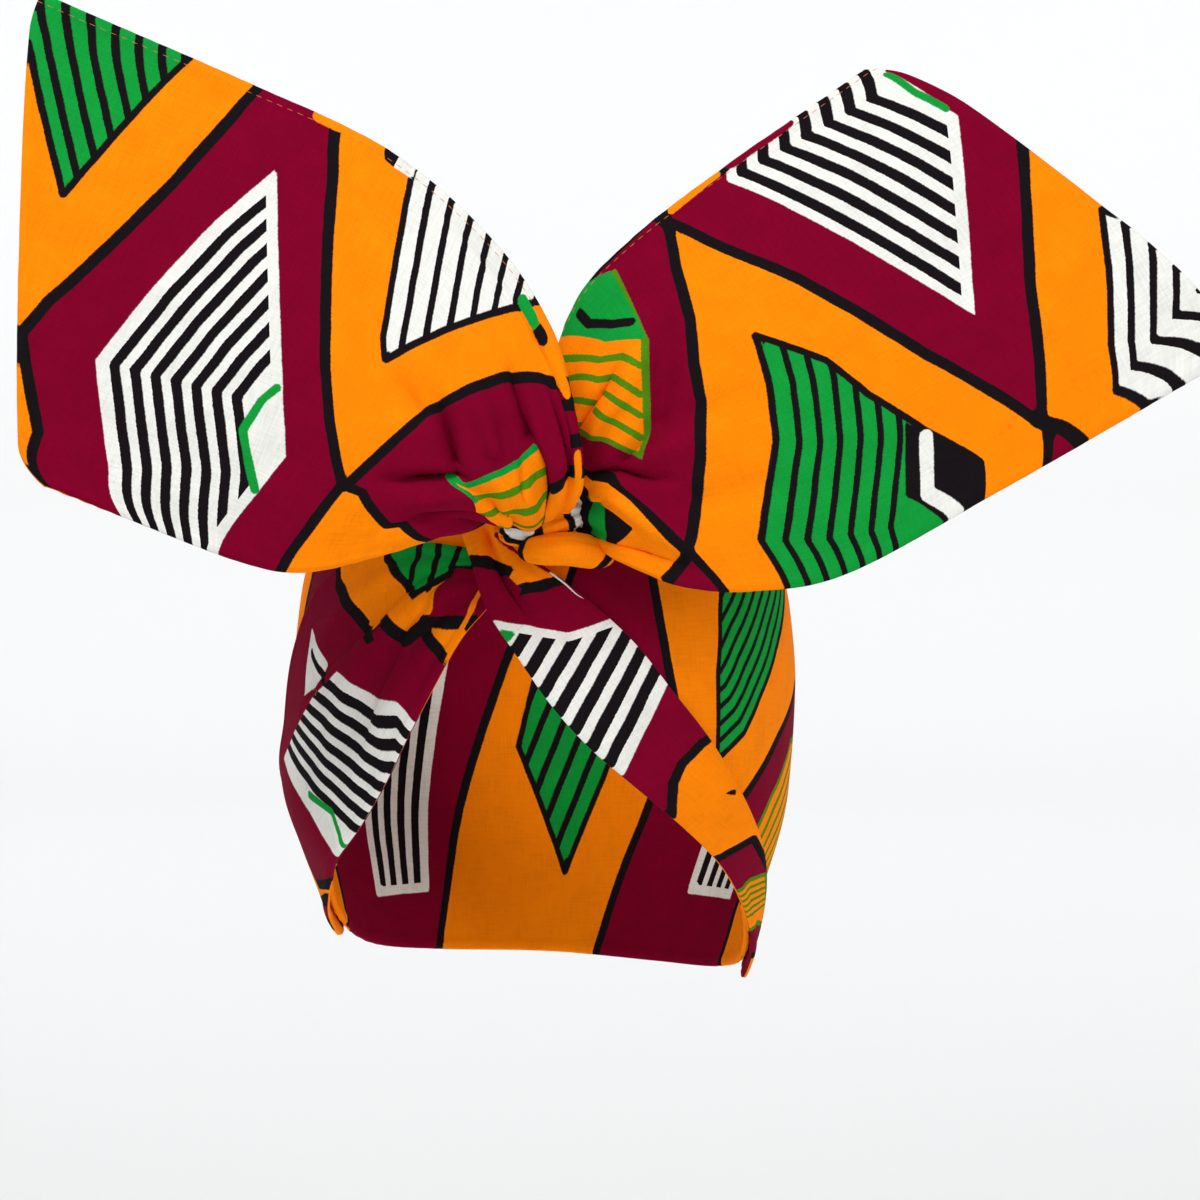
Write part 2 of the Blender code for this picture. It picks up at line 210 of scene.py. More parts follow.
LEFT_CUFF_FOLDS = (
    # start_across, end_share, end_across, half_width, height
    (0.16, 0.62, 0.12, 0.10, 1.6),
    (0.46, 0.70, 0.36, 0.11, 1.9),
    (0.78, 0.60, 0.70, 0.11, 1.6),
)
RIGHT_CUFF_FOLDS = (
    # start_across, end_share, end_across, half_width, height
    (0.30, 0.50, 0.40, 0.16, 1.3),
    (0.75, 0.40, 0.85, 0.14, 1.0),
)
BAND_FOLDS = (
    # start_across, end_share, end_across, half_width, height
    (0.86, 0.16, 0.88, 0.08, 2.2),
)

# A roll of packed cloth or a thread: its path, its radius to the side, how deep it is for that
# radius, how much thinner it gets, the steps along and round it, and the creases that turn on it.
Roll = namedtuple("Roll", "path radius depth taper steps around lobes")
KNOT_TWIST = Roll(
    path=(
        # share, x, y, z
        (0.00, -12.0, -106.0, 32.5),
        (0.50, 1.0, -108.6, 34.6),
        (1.00, 15.0, -105.5, 40.0),
    ),
    radius=4.6, depth=1.2, taper=0.0, steps=60, around=72,
    lobes=(
        # count, height, twist
        (4, 0.30, 200.0),
        (7, 0.10, -120.0),
    ),
)
KNOT_ROLL = Roll(
    path=(
        # share, x, y, z
        (0.00, -6.0, -110.0, 27.6),
        (0.25, 1.0, -113.4, 28.2),
        (0.60, 10.5, -111.8, 28.4),
        (1.00, 22.5, -103.0, 26.0),
    ),
    radius=5.5, depth=0.8, taper=0.0, steps=60, around=72,
    lobes=(
        # count, height, twist
        (2, 0.16, 50.0),
        (5, 0.05, -60.0),
    ),
)
ROLL_END_BLUNTNESS = 3.2
ROLL_LEAD = 0.01
ROLL_MEASURES = 50
LOBE_SHARPNESS = 6

# The seam that closes the doubled strip: the rings of its rim from the front round to the back,
# as turns in degrees and their reach outwards, and the rows of points beside it.
RIM_TURNS = (28.0, 56.0, 80.0, 100.0, 124.0, 152.0)
RIM_REACH = (1.0, 1.0, 0.84, 0.84, 1.0, 1.0)
RIM_ROWS = (0.0, 0.5, 1.1, 1.8, 2.6, 3.5, 4.6)
CELL = 1.15
BAND_CELL = 1.7
FEWEST_CELLS = 2
FINE_STEPS = 400
BAND_FINE_STEPS = 800
FLARE_POWER = 3
BAND_WIDTH = 110.0
LEFT_CUFF_WIDTH = 62.0
RIGHT_CUFF_WIDTH = 32.0

# How the cloth waves, puckers at its seams and ridges over the wire in them.
RIPPLE_WAVES = 6
RIPPLE_SPREAD = (0.75, 1.5)
WAVE_LENGTH = 62.0
DIMPLE_LENGTH = 24.0
PUCKER_PITCH = 7.5
PUCKER_SPAN = 5.0
PUCKER_DRIFT = 5.0
PUCKER_REACH = 6.0
PUCKER_HEIGHT = 0.22
PUCKER_EVENNESS = 0.6
RIDGE_PLACE = 1.5
RIDGE_WIDTH = 1.4
ROOT_CALM = 0.25

# How a crease or a pleat starts, widens and fades along its line.
CREASE_START = 0.4
CREASE_LEAD = 0.12
CREASE_FADE = 0.6
CREASE_START_WIDTH = 0.75
CREASE_WIDENING = 0.6
PLEAT_STEP = 2.4

# The closing stitches: how far they run from the edge, and the share of the edge left bare.
STITCH_PLACE = 1.8
FIRST_STITCH = 0.2
STITCH_SEGMENTS = 8
STITCH_RINGS = 8

CLOTH_MAP = "flat_cloth"
PRINT_ATTRIBUTES = ("print_edges", "print_stripes", "print_inks", "print_patch", "print_extra")
# Distances in millimetres that lie past everything on the cloth.
FAR = 500.0
PAST_THE_END = 300.0

INKS = ("maroon", "orange", "green", "olive", "black", "white")
NO_INK = -1
LAST_GAP = 0.2
OUTLINE_SHARE = 0.62
SPARE_STOP = 0.99

Cloth = namedtuple("Cloth", "points along across edge facing")
Look = namedtuple("Look", "thickness under wave dimple seed")
# A motif has its inks, then where its stripes start, their pitch, width and count, how many
# stretches of its outline they run along, and the margin that they leave free.
Motif = namedtuple("Motif", "fill outline stripe first pitch width count leads margin corners")
Stroke = namedtuple("Stroke", "ink width points")
Patch = namedtuple("Patch", "ink corners")
Chart = namedtuple("Chart", "fields motifs patches strokes")
Crease = namedtuple("Crease", "kind half_width height points")


def plain_motif(fill, outline, corners):
    """Return a motif without stripes."""
    return Motif(fill, outline, "", 0.0, 0.0, 0.0, 0, 1, 0.0, corners)


# The print.  Its outlines were read from the photo, a corner at a time, so every place in
# the charts of the sheets is a (right, down) place in the photo's 1200 by 1200 pixels; some lie
# past the edge of the cloth, where an outline runs off it.  Widths are millimetres.
PHOTO_SIZE = 1200.0
SENSOR_WIDTH = 36.0
CAMERA_PLACE = (0.0183, -1.0, 0.0133)
CAMERA_LENS = 90.0
NEAREST = 24
READING_REACH = 0.7

LEFT_EAR_PRINT = Chart(
    fields=(
        # the broad band, from its top corner down its left side, then up its right side
        ((275, 70), (254, 92), (230, 119), (203, 149), (172, 184), (126, 230), (88, 266), (50, 300),
         (21, 333), (23, 348), (29, 383), (38, 432), (46, 486), (50, 505), (120, 580), (262, 612),
         (281, 570), (342, 484), (330, 425), (325, 367), (326, 291), (328, 237), (333, 172),
         (335, 132), (338, 90), (300, 60)),
        # the field beside the knot
        ((346, 486), (429, 411), (509, 377), (553, 383), (612, 392), (612, 462), (571, 471), (561, 483),
         (549, 488), (545, 496), (545, 536), (495, 536), (440, 548), (424, 539), (403, 524), (388, 526),
         (362, 492)),
    ),
    motifs=(
        Motif("green", "black", "black", 3.9, 5.8, 2.2, 9, 2, 0.0,
              ((18, -20), (28, 42), (63, 195), (187, 61), (215, 32))),
        Motif("white", "", "black", 3.8, 5.5, 2.9, 7, 6, 3.2,
              ((277, 168), (214, 222), (153, 287), (95, 360), (109, 471), (122, 518), (130, 550),
               (205, 572), (216, 557), (286, 457))),
        Motif("white", "black", "black", 5.5, 7.3, 2.3, 12, 3, 0.0,
              ((420, 150), (411, 180), (400, 237), (383, 337), (385, 360), (429, 337), (505, 310),
               (524, 306), (545, 300), (480, 170))),
        Motif("orange", "", "olive", 7.0, 8.0, 2.6, 9, 3, 0.0,
              ((448, 477), (467, 484), (519, 461), (534, 447), (539, 455), (546, 491), (543, 545),
               (500, 540), (483, 513), (473, 499))),
    ),
    patches=(
        # bits of the other side, which rolls over to the front along the sewn edge
        Patch("black", ((384, 148), (397, 152), (395, 168), (384, 160))),
        Patch("white", ((397, 152), (416, 164), (413, 180), (395, 168))),
        Patch("black", ((560, 399), (584, 398), (584, 411), (563, 411))),
        Patch("black", ((569, 434), (592, 431), (592, 443), (571, 449))),
    ),
    strokes=(
        Stroke("green", 2.5, ((277, 388), (262, 400), (243, 430), (248, 460), (255, 490))),
        Stroke("green", 2.4, ((476, 500), (460, 489), (449, 478), (467, 486), (519, 463), (534, 449))),
        # the sewn edge, whose other side rolls over to the front
        Stroke("orange", 4.0, ((320, 116), (340, 126))),
        Stroke("green", 4.0, ((523, 302), (534, 321))),
        Stroke("black", 4.2, ((538, 329), (543, 338))),
        Stroke("orange", 3.8, ((554, 366), (561, 380), (567, 392))),
        Stroke("orange", 3.6, ((577, 456), (578, 474), (575, 490), (567, 508))),
    ),
)
RIGHT_EAR_PRINT = Chart(
    fields=(
        # the broad band under the upper edge
        ((668, 222), (726, 249), (799, 279), (868, 318), (929, 356), (983, 386), (1036, 421),
         (1044, 424), (1042, 413), (1038, 344), (1030, 283), (1027, 214), (1023, 153), (1020, 120),
         (868, 30), (650, 190)),
        ((1045, 422), (1046, 485), (1092, 454)),
        # the field beside the knot
        ((655, 215), (668, 226), (676, 268), (690, 318), (694, 364), (701, 402), (700, 459),
         (692, 536), (686, 551), (611, 479), (596, 477), (540, 484), (540, 350), (583, 290),
         (633, 235)),
        ((690, 552), (667, 580), (672, 604), (732, 602)),
    ),
    motifs=(
        Motif("white", "", "black", 2.8, 6.2, 3.1, 7, 2, 3.4,
              ((722, 110), (727, 181), (975, 315), (958, 115), (946, 109), (885, 73), (864, 40))),
        Motif("white", "black", "black", 5.0, 6.9, 2.3, 9, 4, 0.0,
              ((1101, 210), (1109, 268), (1111, 344), (1115, 390), (1147, 406), (1260, 380),
               (1260, 300), (1180, 240))),
        Motif("green", "black", "black", 5.4, 5.8, 1.9, 6, 5, 0.0,
              ((755, 335), (770, 386), (776, 440), (768, 490), (761, 540), (791, 595), (870, 590),
               (981, 520), (981, 463), (925, 430), (868, 394), (826, 360))),
        plain_motif("orange", "olive",
              ((614, 272), (636, 320), (645, 340), (646, 395), (641, 457), (578, 432), (560, 430),
               (556, 330), (585, 305))),
        # what shows of a striped kite between the lowest gather and the knot
        plain_motif("black", "",
              ((552, 484), (583, 484), (604, 507), (633, 528), (611, 544), (600, 540), (586, 533),
               (552, 545))),
    ),
    patches=(
        Patch("black", ((905, 422), (981, 463), (981, 520), (946, 525), (905, 497))),
        Patch("green", ((611, 271), (635, 314), (646, 338), (640, 340), (606, 342), (560, 338), (570, 300))),
        Patch("green", ((588, 492), (604, 507), (605, 522), (606, 541), (591, 533), (590, 511))),
        Patch("white", ((566, 512), (572, 504), (578, 497), (579, 510), (582, 528), (573, 524))),
        Patch("black", ((714, 168), (728, 157), (733, 166), (722, 177))),
    ),
    strokes=(
        Stroke("olive", 2.4, ((560, 360), (600, 360), (621, 356), (640, 366))),
        Stroke("olive", 2.4, ((560, 380), (598, 380), (611, 376), (641, 395))),
        Stroke("olive", 2.4, ((566, 403), (594, 402))),
        Stroke("olive", 2.4, ((604, 393), (641, 416))),
        Stroke("olive", 2.4, ((572, 424), (582, 424))),
        Stroke("olive", 2.4, ((595, 411), (641, 438))),
        Stroke("black", 3.4, ((1036, 421), (1045, 425))),
        Stroke("green", 2.1, ((887, 75), (914, 92), (946, 109))),
        Stroke("white", 4.2, ((926, 436), (927, 494), (958, 515))),
        Stroke("black", 3.2, ((579, 313), (589, 324), (612, 324), (631, 322))),
        # the sewn edge, whose other side shows as a thin line
        Stroke("orange", 2.6, ((672, 211), (716, 175))),
        Stroke("maroon", 4.2, ((731, 163), (786, 124))),
    ),
)
LEFT_CUFF_PRINT = Chart(
    fields=(
        ((346, 520), (338, 584), (369, 636), (384, 622), (406, 640), (422, 628), (446, 661), (470, 680),
         (400, 860), (343, 869), (331, 884), (318, 884), (260, 780), (260, 520)),
        ((324, 900), (345, 896), (370, 950), (330, 955), (312, 905)),
        ((500, 623), (423, 623), (434, 620), (452, 593), (464, 581), (500, 581)),
    ),
    motifs=(
        plain_motif("green", "black",
              ((386, 556), (414, 595), (446, 576), (452, 570), (476, 570), (470, 520), (430, 520))),
        Motif("white", "", "black", 3.2, 5.2, 2.9, 7, 3, 0.0,
              ((337, 671), (378, 700), (396, 701), (432, 744), (380, 880), (342, 862), (310, 812),
               (284, 758), (313, 697))),
        plain_motif("white", "", ((312, 628), (328, 664), (316, 688), (304, 696))),
    ),
    patches=(
        # the second fold lies over the first, so no line is printed along it
        Patch("maroon", ((453, 568), (480, 571), (480, 614), (450, 616), (428, 617))),
        Patch("maroon", ((372, 635), (381, 627), (387, 634), (377, 642))),
        Patch("orange", ((374, 630), (383, 622), (377, 614), (368, 623))),
    ),
    strokes=(
        Stroke("black", 2.6, ((422, 536), (417, 560), (408, 588))),
        Stroke("black", 2.6, ((441, 530), (438, 556), (429, 588))),
        Stroke("black", 2.6, ((466, 520), (461, 545), (450, 574))),
        Stroke("black", 2.2, ((312, 652), (318, 668), (325, 682))),
        Stroke("green", 2.0, ((309, 794), (332, 812), (345, 850))),
        # the margin that turns over the fold
        Stroke("orange", 2.2, ((483, 588), (469, 616), (453, 650), (440, 680), (429, 706))),
    ),
)
RIGHT_CUFF_PRINT = Chart(
    fields=(
        ((460, 560), (474, 561), (486, 562), (498, 567), (507, 572), (501, 585), (514, 592),
         (522, 589), (542, 586), (561, 580),
         (571, 569), (585, 555), (660, 545), (720, 730), (702, 743), (682, 764), (673, 783),
         (669, 830), (600, 830), (460, 640)),
        ((753, 839), (730, 852), (709, 862), (700, 880), (738, 959), (757, 953), (780, 900)),
    ),
    motifs=(
        Motif("white", "", "black", 3.6, 6.6, 3.6, 7, 1, 2.6,
              ((688, 641), (602, 815), (470, 650), (495, 620), (545, 629), (568, 633), (610, 619),
               (640, 600))),
        Motif("orange", "olive", "olive", 3.0, 3.6, 1.6, 5, 3, 0.0,
              ((725, 895), (738, 892), (750, 880), (765, 874), (765, 925), (757, 922), (744, 936))),
    ),
    patches=(
        Patch("green", ((500, 629), (517, 632), (508, 643))),
        Patch("black", ((724, 794), (735, 788), (735, 795))),
        # where the last turn of the cuff crosses itself the line is hidden
        Patch("maroon", ((496, 575), (508, 575), (522, 588), (519, 599), (493, 598))),
    ),
    strokes=(
        # painted shadow: a thin dark maroon line along the edge of the knot's fold, where it lies over the
        # cuff
        Stroke("maroon", 1.1, ((497, 534), (506, 545), (518, 554), (535, 563), (549, 571))),
    ),
)
BAND_PRINT = Chart(
    fields=(
        ((568, 584), (580, 550), (650, 550), (652, 576), (659, 615), (667, 661), (673, 691),
         (680, 730), (640, 760), (560, 660)),
        ((320, 545), (313, 577), (304, 622), (297, 684), (295, 715), (289, 745), (284, 780), (310, 800),
         (380, 600), (350, 540)),
        ((800, 670), (778, 737), (737, 806), (740, 860), (776, 850), (805, 780), (812, 700)),
    ),
    motifs=(
        Motif("green", "black", "black", 4.0, 4.6, 1.7, 9, 4, 0.0,
              ((782, 560), (776, 649), (759, 699), (744, 733), (717, 760), (718, 672), (719, 560))),
        Motif("orange", "olive", "olive", 5.0, 6.4, 2.4, 9, 2, 0.0,
              ((790, 742), (772, 795), (750, 842), (756, 880), (766, 900), (810, 830), (820, 730))),
    ),
    patches=(),
    strokes=(),
)

# Creases of the cloth, read off the photo like the print: half width and height in millimetres,
# then the places that each runs through, the knot end first.  A pleat steps up along its line, on
# the right of the way that the line runs on the flat cloth.
LEFT_EAR_CREASES = (
    Crease("soft", 2.6, -5.0, ((462, 478), (436, 478), (400, 481), (362, 480))),
    Crease("soft", 3.2, -5.4, ((456, 470), (450, 440), (441, 405), (424, 372))),
    Crease("soft", 4.2, -2.6, ((424, 420), (402, 386), (384, 350))),
    Crease("soft", 4.6, -6.6, ((528, 446), (522, 415), (517, 385), (510, 345))),
    Crease("sharp", 2.4, -5.2, ((547, 505), (543, 470), (534, 440), (528, 405))),
    Crease("soft", 5.0, 3.0, ((495, 458), (487, 430), (478, 400), (462, 350))),
    Crease("soft", 3.6, 2.8, ((560, 475), (552, 430), (543, 395), (530, 350))),
    # the seam inside the rolled edge
    Crease("sharp", 0.8, -1.2, ((571, 466), (570, 434), (561, 400), (551, 372), (538, 345), (520, 312),
                                (488, 268), (448, 222), (398, 178), (345, 138))),
    Crease("soft", 4.5, 2.4, ((470, 497), (430, 500), (390, 506))),
    Crease("soft", 3.0, -3.4, ((484, 514), (450, 515), (415, 519), (385, 522))),
    Crease("soft", 2.4, -1.6, ((522, 500), (524, 476), (526, 452))),
    Crease("soft", 4.2, 2.0, ((505, 525), (505, 495), (500, 470))),
)
RIGHT_EAR_CREASES = (
    Crease("sharp", 4.0, -4.4, ((572, 440), (600, 395), (632, 344))),
    Crease("soft", 5.0, -4.6, ((612, 466), (646, 440), (664, 385), (659, 320), (645, 270))),
    Crease("soft", 4.5, 3.2, ((590, 440), (620, 400), (641, 350), (640, 300))),
    Crease("soft", 2.8, -5.4, ((580, 474), (612, 473), (650, 480), (700, 482))),
    Crease("soft", 4.0, 3.6, ((590, 492), (635, 514), (684, 549), (740, 575))),
    Crease("sharp", 2.2, -2.4, ((600, 540), (640, 552), (676, 562), (716, 576))),
    Crease("soft", 6.5, -2.4, ((655, 425), (700, 408), (760, 400), (800, 395))),
    Crease("soft", 6.0, 1.8, ((640, 455), (700, 440), (760, 436))),
    Crease("soft", 6.5, -2.0, ((690, 502), (760, 490), (800, 486))),
)
LEFT_CUFF_CREASES = (
    Crease("pleat", 9.0, 2.3, ((440, 572), (384, 622), (332, 673), (286, 724))),
    Crease("pleat", 9.0, 2.3, ((446, 584), (430, 608), (412, 632), (399, 668), (376, 714), (352, 780))),
)
RIGHT_CUFF_CREASES = (
    Crease("sharp", 2.4, 2.0, ((494, 519), (506, 558), (522, 588), (560, 640))),
    Crease("soft", 2.2, -2.6, ((484, 525), (498, 566), (512, 592), (548, 640))),
    Crease("soft", 3.0, -1.4, ((500, 570), (524, 610), (556, 660))),
)
BAND_CREASES = (
    Crease("soft", 5.0, -0.5, ((700, 585), (735, 640), (745, 700))),
)

CREASES = {
    "head_band": BAND_CREASES,
    "left_cuff": LEFT_CUFF_CREASES,
    "right_cuff": RIGHT_CUFF_CREASES,
    "left_ear": LEFT_EAR_CREASES,
    "right_ear": RIGHT_EAR_CREASES,
}

# A loose end of white thread that hangs out of the knot over the right cuff, read off the photo.
LOOSE_END = ((549, 572), (556, 578), (566, 585), (576, 593), (585, 600))
LOOSE_END_LIFT = 0.5
LOOSE_THREAD = Roll(path=(), radius=0.42, depth=1.0, taper=0.7, steps=24, around=10, lobes=())

BLANK = Chart(fields=(), motifs=(), patches=(), strokes=())

# The knot's cloth is printed in millimetres along it and round it, from the back.
TWIST_PRINT = Chart(
    fields=(),
    motifs=(
        plain_motif("white", "black",
              ((2.0, 24), (4.0, 19), (9.0, 17), (13.5, 20), (14.0, 30), (13.0, 36), (2.0, 36))),
        plain_motif("white", "black", ((22, 10), (27.5, 10), (27.5, 36), (22, 36))),
    ),
    patches=(),
    strokes=(),
)
ROLL_PRINT = Chart(
    fields=(),
    motifs=(),
    patches=(),
    strokes=(
        Stroke("black", 3.2, ((2.0, 8), (1.4, 16), (2.2, 26), (4.0, 33))),
        Stroke("black", 3.2, ((28, 4), (27, 16), (29.5, 27))),
    ),
)

# The repeat of the print where the photo doesn't show it, in millimetres on the flat cloth: two
# zigzag bands, maroon and orange, with a striped kite in each.
REPEAT = 150.0
ZIGZAG = ((44.0, 0.0), (0.0, 0.5), (44.0, 1.0), (120.0, 1.0), (78.0, 0.5), (120.0, 0.0))
WHITE_KITE = Motif("white", "", "black", 4.0, 6.7, 3.6, 6, 2, 3.2,
                   ((66.0, 0.92), (24.0, 0.52), (44.0, 0.1), (76.0, 0.1), (58.0, 0.5)))
GREEN_KITE = Motif("green", "black", "black", 5.5, 7.3, 2.4, 5, 2, 0.0,
                   ((134.0, 0.9), (96.0, 0.5), (134.0, 0.12), (152.0, 0.3), (140.0, 0.5)))
REPEAT_OVERHANG = 2.0
HIDDEN_STARTS = {"head_band": (158.0, 290.0)}

# Unevenness of the inks and the yarns: noise scales per millimetre and how strong each is.
INK_WANDER_SCALE, INK_WANDER = 0.11, 0.6
INK_FRAY_SCALE, INK_FRAY = 1.3, 0.4
WARP_SLUBS, WEFT_SLUBS = (0.12, 1.6, 1.0), (1.6, 0.12, 1.0)
SLUB_SCALE, SLUB_DETAIL, SLUB_TONE, SLUB_HEIGHT = 1.0, 3.0, 0.28, 1.6
MOTTLE_SCALE, MOTTLE_DETAIL, MOTTLE_TONE = 0.09, 4.0, 0.28
PLAIN_DETAIL = 2.0
WEAVE_TONE, WEAVE_HEIGHT = 0.05, 0.35
GRAIN_STRENGTH, GRAIN_HEIGHT = 0.55, 0.12
COTTON_ROUGHNESS, COTTON_GLOSS = 0.9, 0.05
# the middle number: how dark the painted shade is in the grooves between a thread's plies
THREAD_ROUGHNESS, GROOVE_SHADE, PLY_HEIGHT = 0.7, 0.75, 0.25
BACKDROP_COLOUR, BACKDROP_ROUGHNESS = (0.86, 0.865, 0.87), 0.9

EARS = {
    "left_ear": (LEFT_EAR_SECTIONS, LEFT_EAR_FOLDS, ROOT_SAG, LEFT_END_ROUND, LEFT_CUT_OFFSET),
    "right_ear": (RIGHT_EAR_SECTIONS, RIGHT_EAR_FOLDS, NO_SAG, RIGHT_END_ROUND, RIGHT_CUT_OFFSET),
}
CUFFS = {
    "left_cuff": (LEFT_CUFF_SECTIONS, LEFT_CUFF_FOLDS, LEFT_CUFF_WIDTH),
    "right_cuff": (RIGHT_CUFF_SECTIONS, RIGHT_CUFF_FOLDS, RIGHT_CUFF_WIDTH),
}

# The stage, in metres: a floor that sweeps up into a wall behind the wrap, and soft lights.
FLOOR = -0.28
BACKDROP_HALF_WIDTH = 6.0
BACKDROP_SWEEP = (
    # depth, rise
    (-6.0, 0.0),
    (1.2, 0.0),
    (1.9, 0.1),
    (2.3, 0.4),
    (2.5, 1.0),
    (2.5, 5.28),
)
WORLD_STRENGTH = 0.5
CLIP_START = 0.01
LIGHTS = (
    # name, place, aim, size, power
    ("key", (-0.55, -1.05, 1.25), (0.0, -0.05, 0.03), 0.55, 15.2),
    ("fill", (1.2, -1.3, 0.5), (0.0, 0.0, 0.0), 1.2, 8.2),
    ("wall_left", (-1.2, 0.9, 1.4), (-0.4, 2.4, 0.6), 1.0, 12.5),
    ("wall_right", (1.2, 0.9, 1.4), (0.4, 2.4, 0.6), 1.0, 12.5),
)


def smooth_rows(rows, keys):
    """Read a table at many places, on a smooth curve through its rows."""
    table = np.array(rows, dtype=float)
    marks, values = table[:, 0], table[:, 1:]
    slopes = np.empty_like(values)
    slopes[1:-1] = (values[2:] - values[:-2]) / (marks[2:] - marks[:-2])[:, None]
    slopes[0] = (values[1] - values[0]) / (marks[1] - marks[0])
    slopes[-1] = (values[-1] - values[-2]) / (marks[-1] - marks[-2])
    keys = np.atleast_1d(np.asarray(keys, dtype=float))
    index = np.clip(np.searchsorted(marks, keys) - 1, 0, len(marks) - 2)
    span = (marks[index + 1] - marks[index])[:, None]
    t = np.clip((keys[:, None] - marks[index][:, None]) / span, 0.0, 1.0)
    t2, t3 = t * t, t * t * t
    return ((2 * t3 - 3 * t2 + 1) * values[index] + (t3 - 2 * t2 + t) * span * slopes[index]
            + (3 * t2 - 2 * t3) * values[index + 1] + (t3 - t2) * span * slopes[index + 1])


def smooth_step(values):
    """Ease from 0 to 1."""
    values = np.clip(values, 0.0, 1.0)
    return values * values * (3.0 - 2.0 * values)


def between(first, second, share):
    """Return what lies a share of the way from one value to the other."""
    return first + (second - first) * share


def unit(vectors):
    """Return vectors with their length made 1."""
    return vectors / np.linalg.norm(vectors, axis=-1, keepdims=True)


def run_lengths(points):
    """Return how far along a line of points each point is."""
    steps = np.linalg.norm(np.diff(points, axis=0), axis=-1)
    return np.concatenate([np.zeros((1,) + steps.shape[1:]), np.cumsum(steps, axis=0)])


def grid_normals(points):
    """Return the unit normal of the cloth at each point of a grid."""
    return unit(np.cross(np.gradient(points, axis=0), np.gradient(points, axis=1)))


def seam_marks(length, cell, low_seam=True):
    """Return shares of a length, closer together beside each sewn edge."""
    rim = np.array(RIM_ROWS)
    start = rim if low_seam else rim[:1]
    cells = max(int((length - start[-1] - rim[-1]) / cell), FEWEST_CELLS)
    middle = np.linspace(start[-1], length - rim[-1], cells + 1)
    return np.concatenate([start[:-1], middle, length - rim[::-1][1:]]) / length


def even_shares(sections, wanted):
    """Turn shares of a piece's length into shares of its table, which aren't evenly spaced."""
    fine = np.linspace(sections[0][0], sections[-1][0], FINE_STEPS)
    rows = smooth_rows(sections, fine)
    mean = (run_lengths(rows[:, :3]) + run_lengths(rows[:, 3:6])) / 2.0
    return np.interp(np.asarray(wanted) * mean[-1], mean, fine)


def gather_relief(folds, shares, parts):
    """Add up the ridges of a table of gathers over a grid of cloth."""
    relief = np.zeros((len(shares), len(parts)))
    for start_across, end_share, end_across, half_width, height in folds:
        run = np.clip(shares / end_share, 0.0, 1.0)
        centre = between(start_across, end_across, run)
        offset = np.clip((parts[None, :] - centre[:, None]) / half_width, -1.0, 1.0)
        grow = between(ROOT_HEIGHT, 1.0, smooth_step(shares / FOLD_RISE))
        fade = grow * (1.0 - run * run) ** 2
        relief += height * fade[:, None] * 0.5 * (1.0 + np.cos(math.pi * offset))
    return relief


def line_reading(points, along, across):
    """Return the distance to a line, the share of the line gone and the side that it is on."""
    runs = run_lengths(np.array(points))
    best = np.full(along.shape, np.inf)
    share, side = np.zeros(along.shape), np.ones(along.shape)
    for start, end, gone, after in zip(points, points[1:], runs, runs[1:]):
        run_along, run_across = end[0] - start[0], end[1] - start[1]
        off_along, off_across = along - start[0], across - start[1]
        part = (off_along * run_along + off_across * run_across) / (after - gone) ** 2
        part = np.clip(part, 0.0, 1.0)
        distance = np.hypot(off_along - part * run_along, off_across - part * run_across)
        near = distance < best
        best = np.where(near, distance, best)
        share = np.where(near, (gone + part * (after - gone)) / runs[-1], share)
        side = np.where(near, np.sign(run_along * off_across - run_across * off_along), side)
    return best, share, side


def crease_relief(creases, along, across):
    """Add up the creases, each strong from near its start and gone at its end."""
    relief = np.zeros_like(along)
    for kind, half_width, height, points in creases:
        distance, share, side = line_reading(points, along, across)
        width = half_width * (CREASE_START_WIDTH + CREASE_WIDENING * share)
        fade = smooth_step((1.0 - share) / CREASE_FADE)
        fade *= smooth_step(CREASE_START + share / CREASE_LEAD)
        if kind == "pleat":
            beyond = -distance * side
            shape = smooth_step(0.5 + beyond / PLEAT_STEP) * np.exp(-np.maximum(beyond, 0.0) / width)
        elif kind == "sharp":
            shape = np.exp(-distance / width)
        else:
            shape = np.exp(-(distance / width) ** 2)
        relief += height * fade * shape
    return relief


def ripple(along, across, wavelength, seed):
    """Return a gentle random waviness of about that wavelength, from -1 to 1."""
    chance = np.random.default_rng(seed)
    total = np.zeros_like(along)
    for _ in range(RIPPLE_WAVES):
        turn = chance.uniform(0.0, math.pi)
        reach = wavelength * chance.uniform(*RIPPLE_SPREAD)
        phase = chance.uniform(0.0, 2.0 * math.pi)
        path = (along * math.cos(turn) + across * math.sin(turn)) / reach
        total += np.cos(2.0 * math.pi * path + phase)
    return total / RIPPLE_WAVES


def waviness(look, along, across):
    """Return the long waves and the dimples of a sheet."""
    return (look.wave * ripple(along, across, WAVE_LENGTH, look.seed)
            + look.dimple * ripple(along, across, DIMPLE_LENGTH, look.seed + 1))


def pucker(run, edge, seed):
    """Return the small waves that a seam draws into the cloth beside it."""
    wander = ripple(run, edge * 0.0, PUCKER_PITCH * PUCKER_SPAN, seed)
    wave = np.cos(2.0 * math.pi * run / PUCKER_PITCH + PUCKER_DRIFT * wander)
    return PUCKER_HEIGHT * wave * np.exp(-edge / PUCKER_REACH) * between(PUCKER_EVENNESS, 1.0, wander)


def seam_ridge(edge):
    """Return the height of the ridge that the seam allowance and its wire make."""
    return np.exp(-((edge - RIDGE_PLACE) / RIDGE_WIDTH) ** 2)


def on_form(angle, height, lift):
    """Return points over the hollow at angles and heights, lifted off its surface."""
    angle, height, lift = np.broadcast_arrays(angle, height, lift)
    form = smooth_rows(INNER_FORM, height.ravel()).reshape(height.shape + (3,))
    turn = np.radians(angle)
    depth = np.where(np.cos(turn) > 0, form[..., 1], form[..., 2])
    right = (form[..., 0] + lift) * np.sin(turn)
    return np.stack([right, -(depth + lift) * np.cos(turn), height], axis=-1)


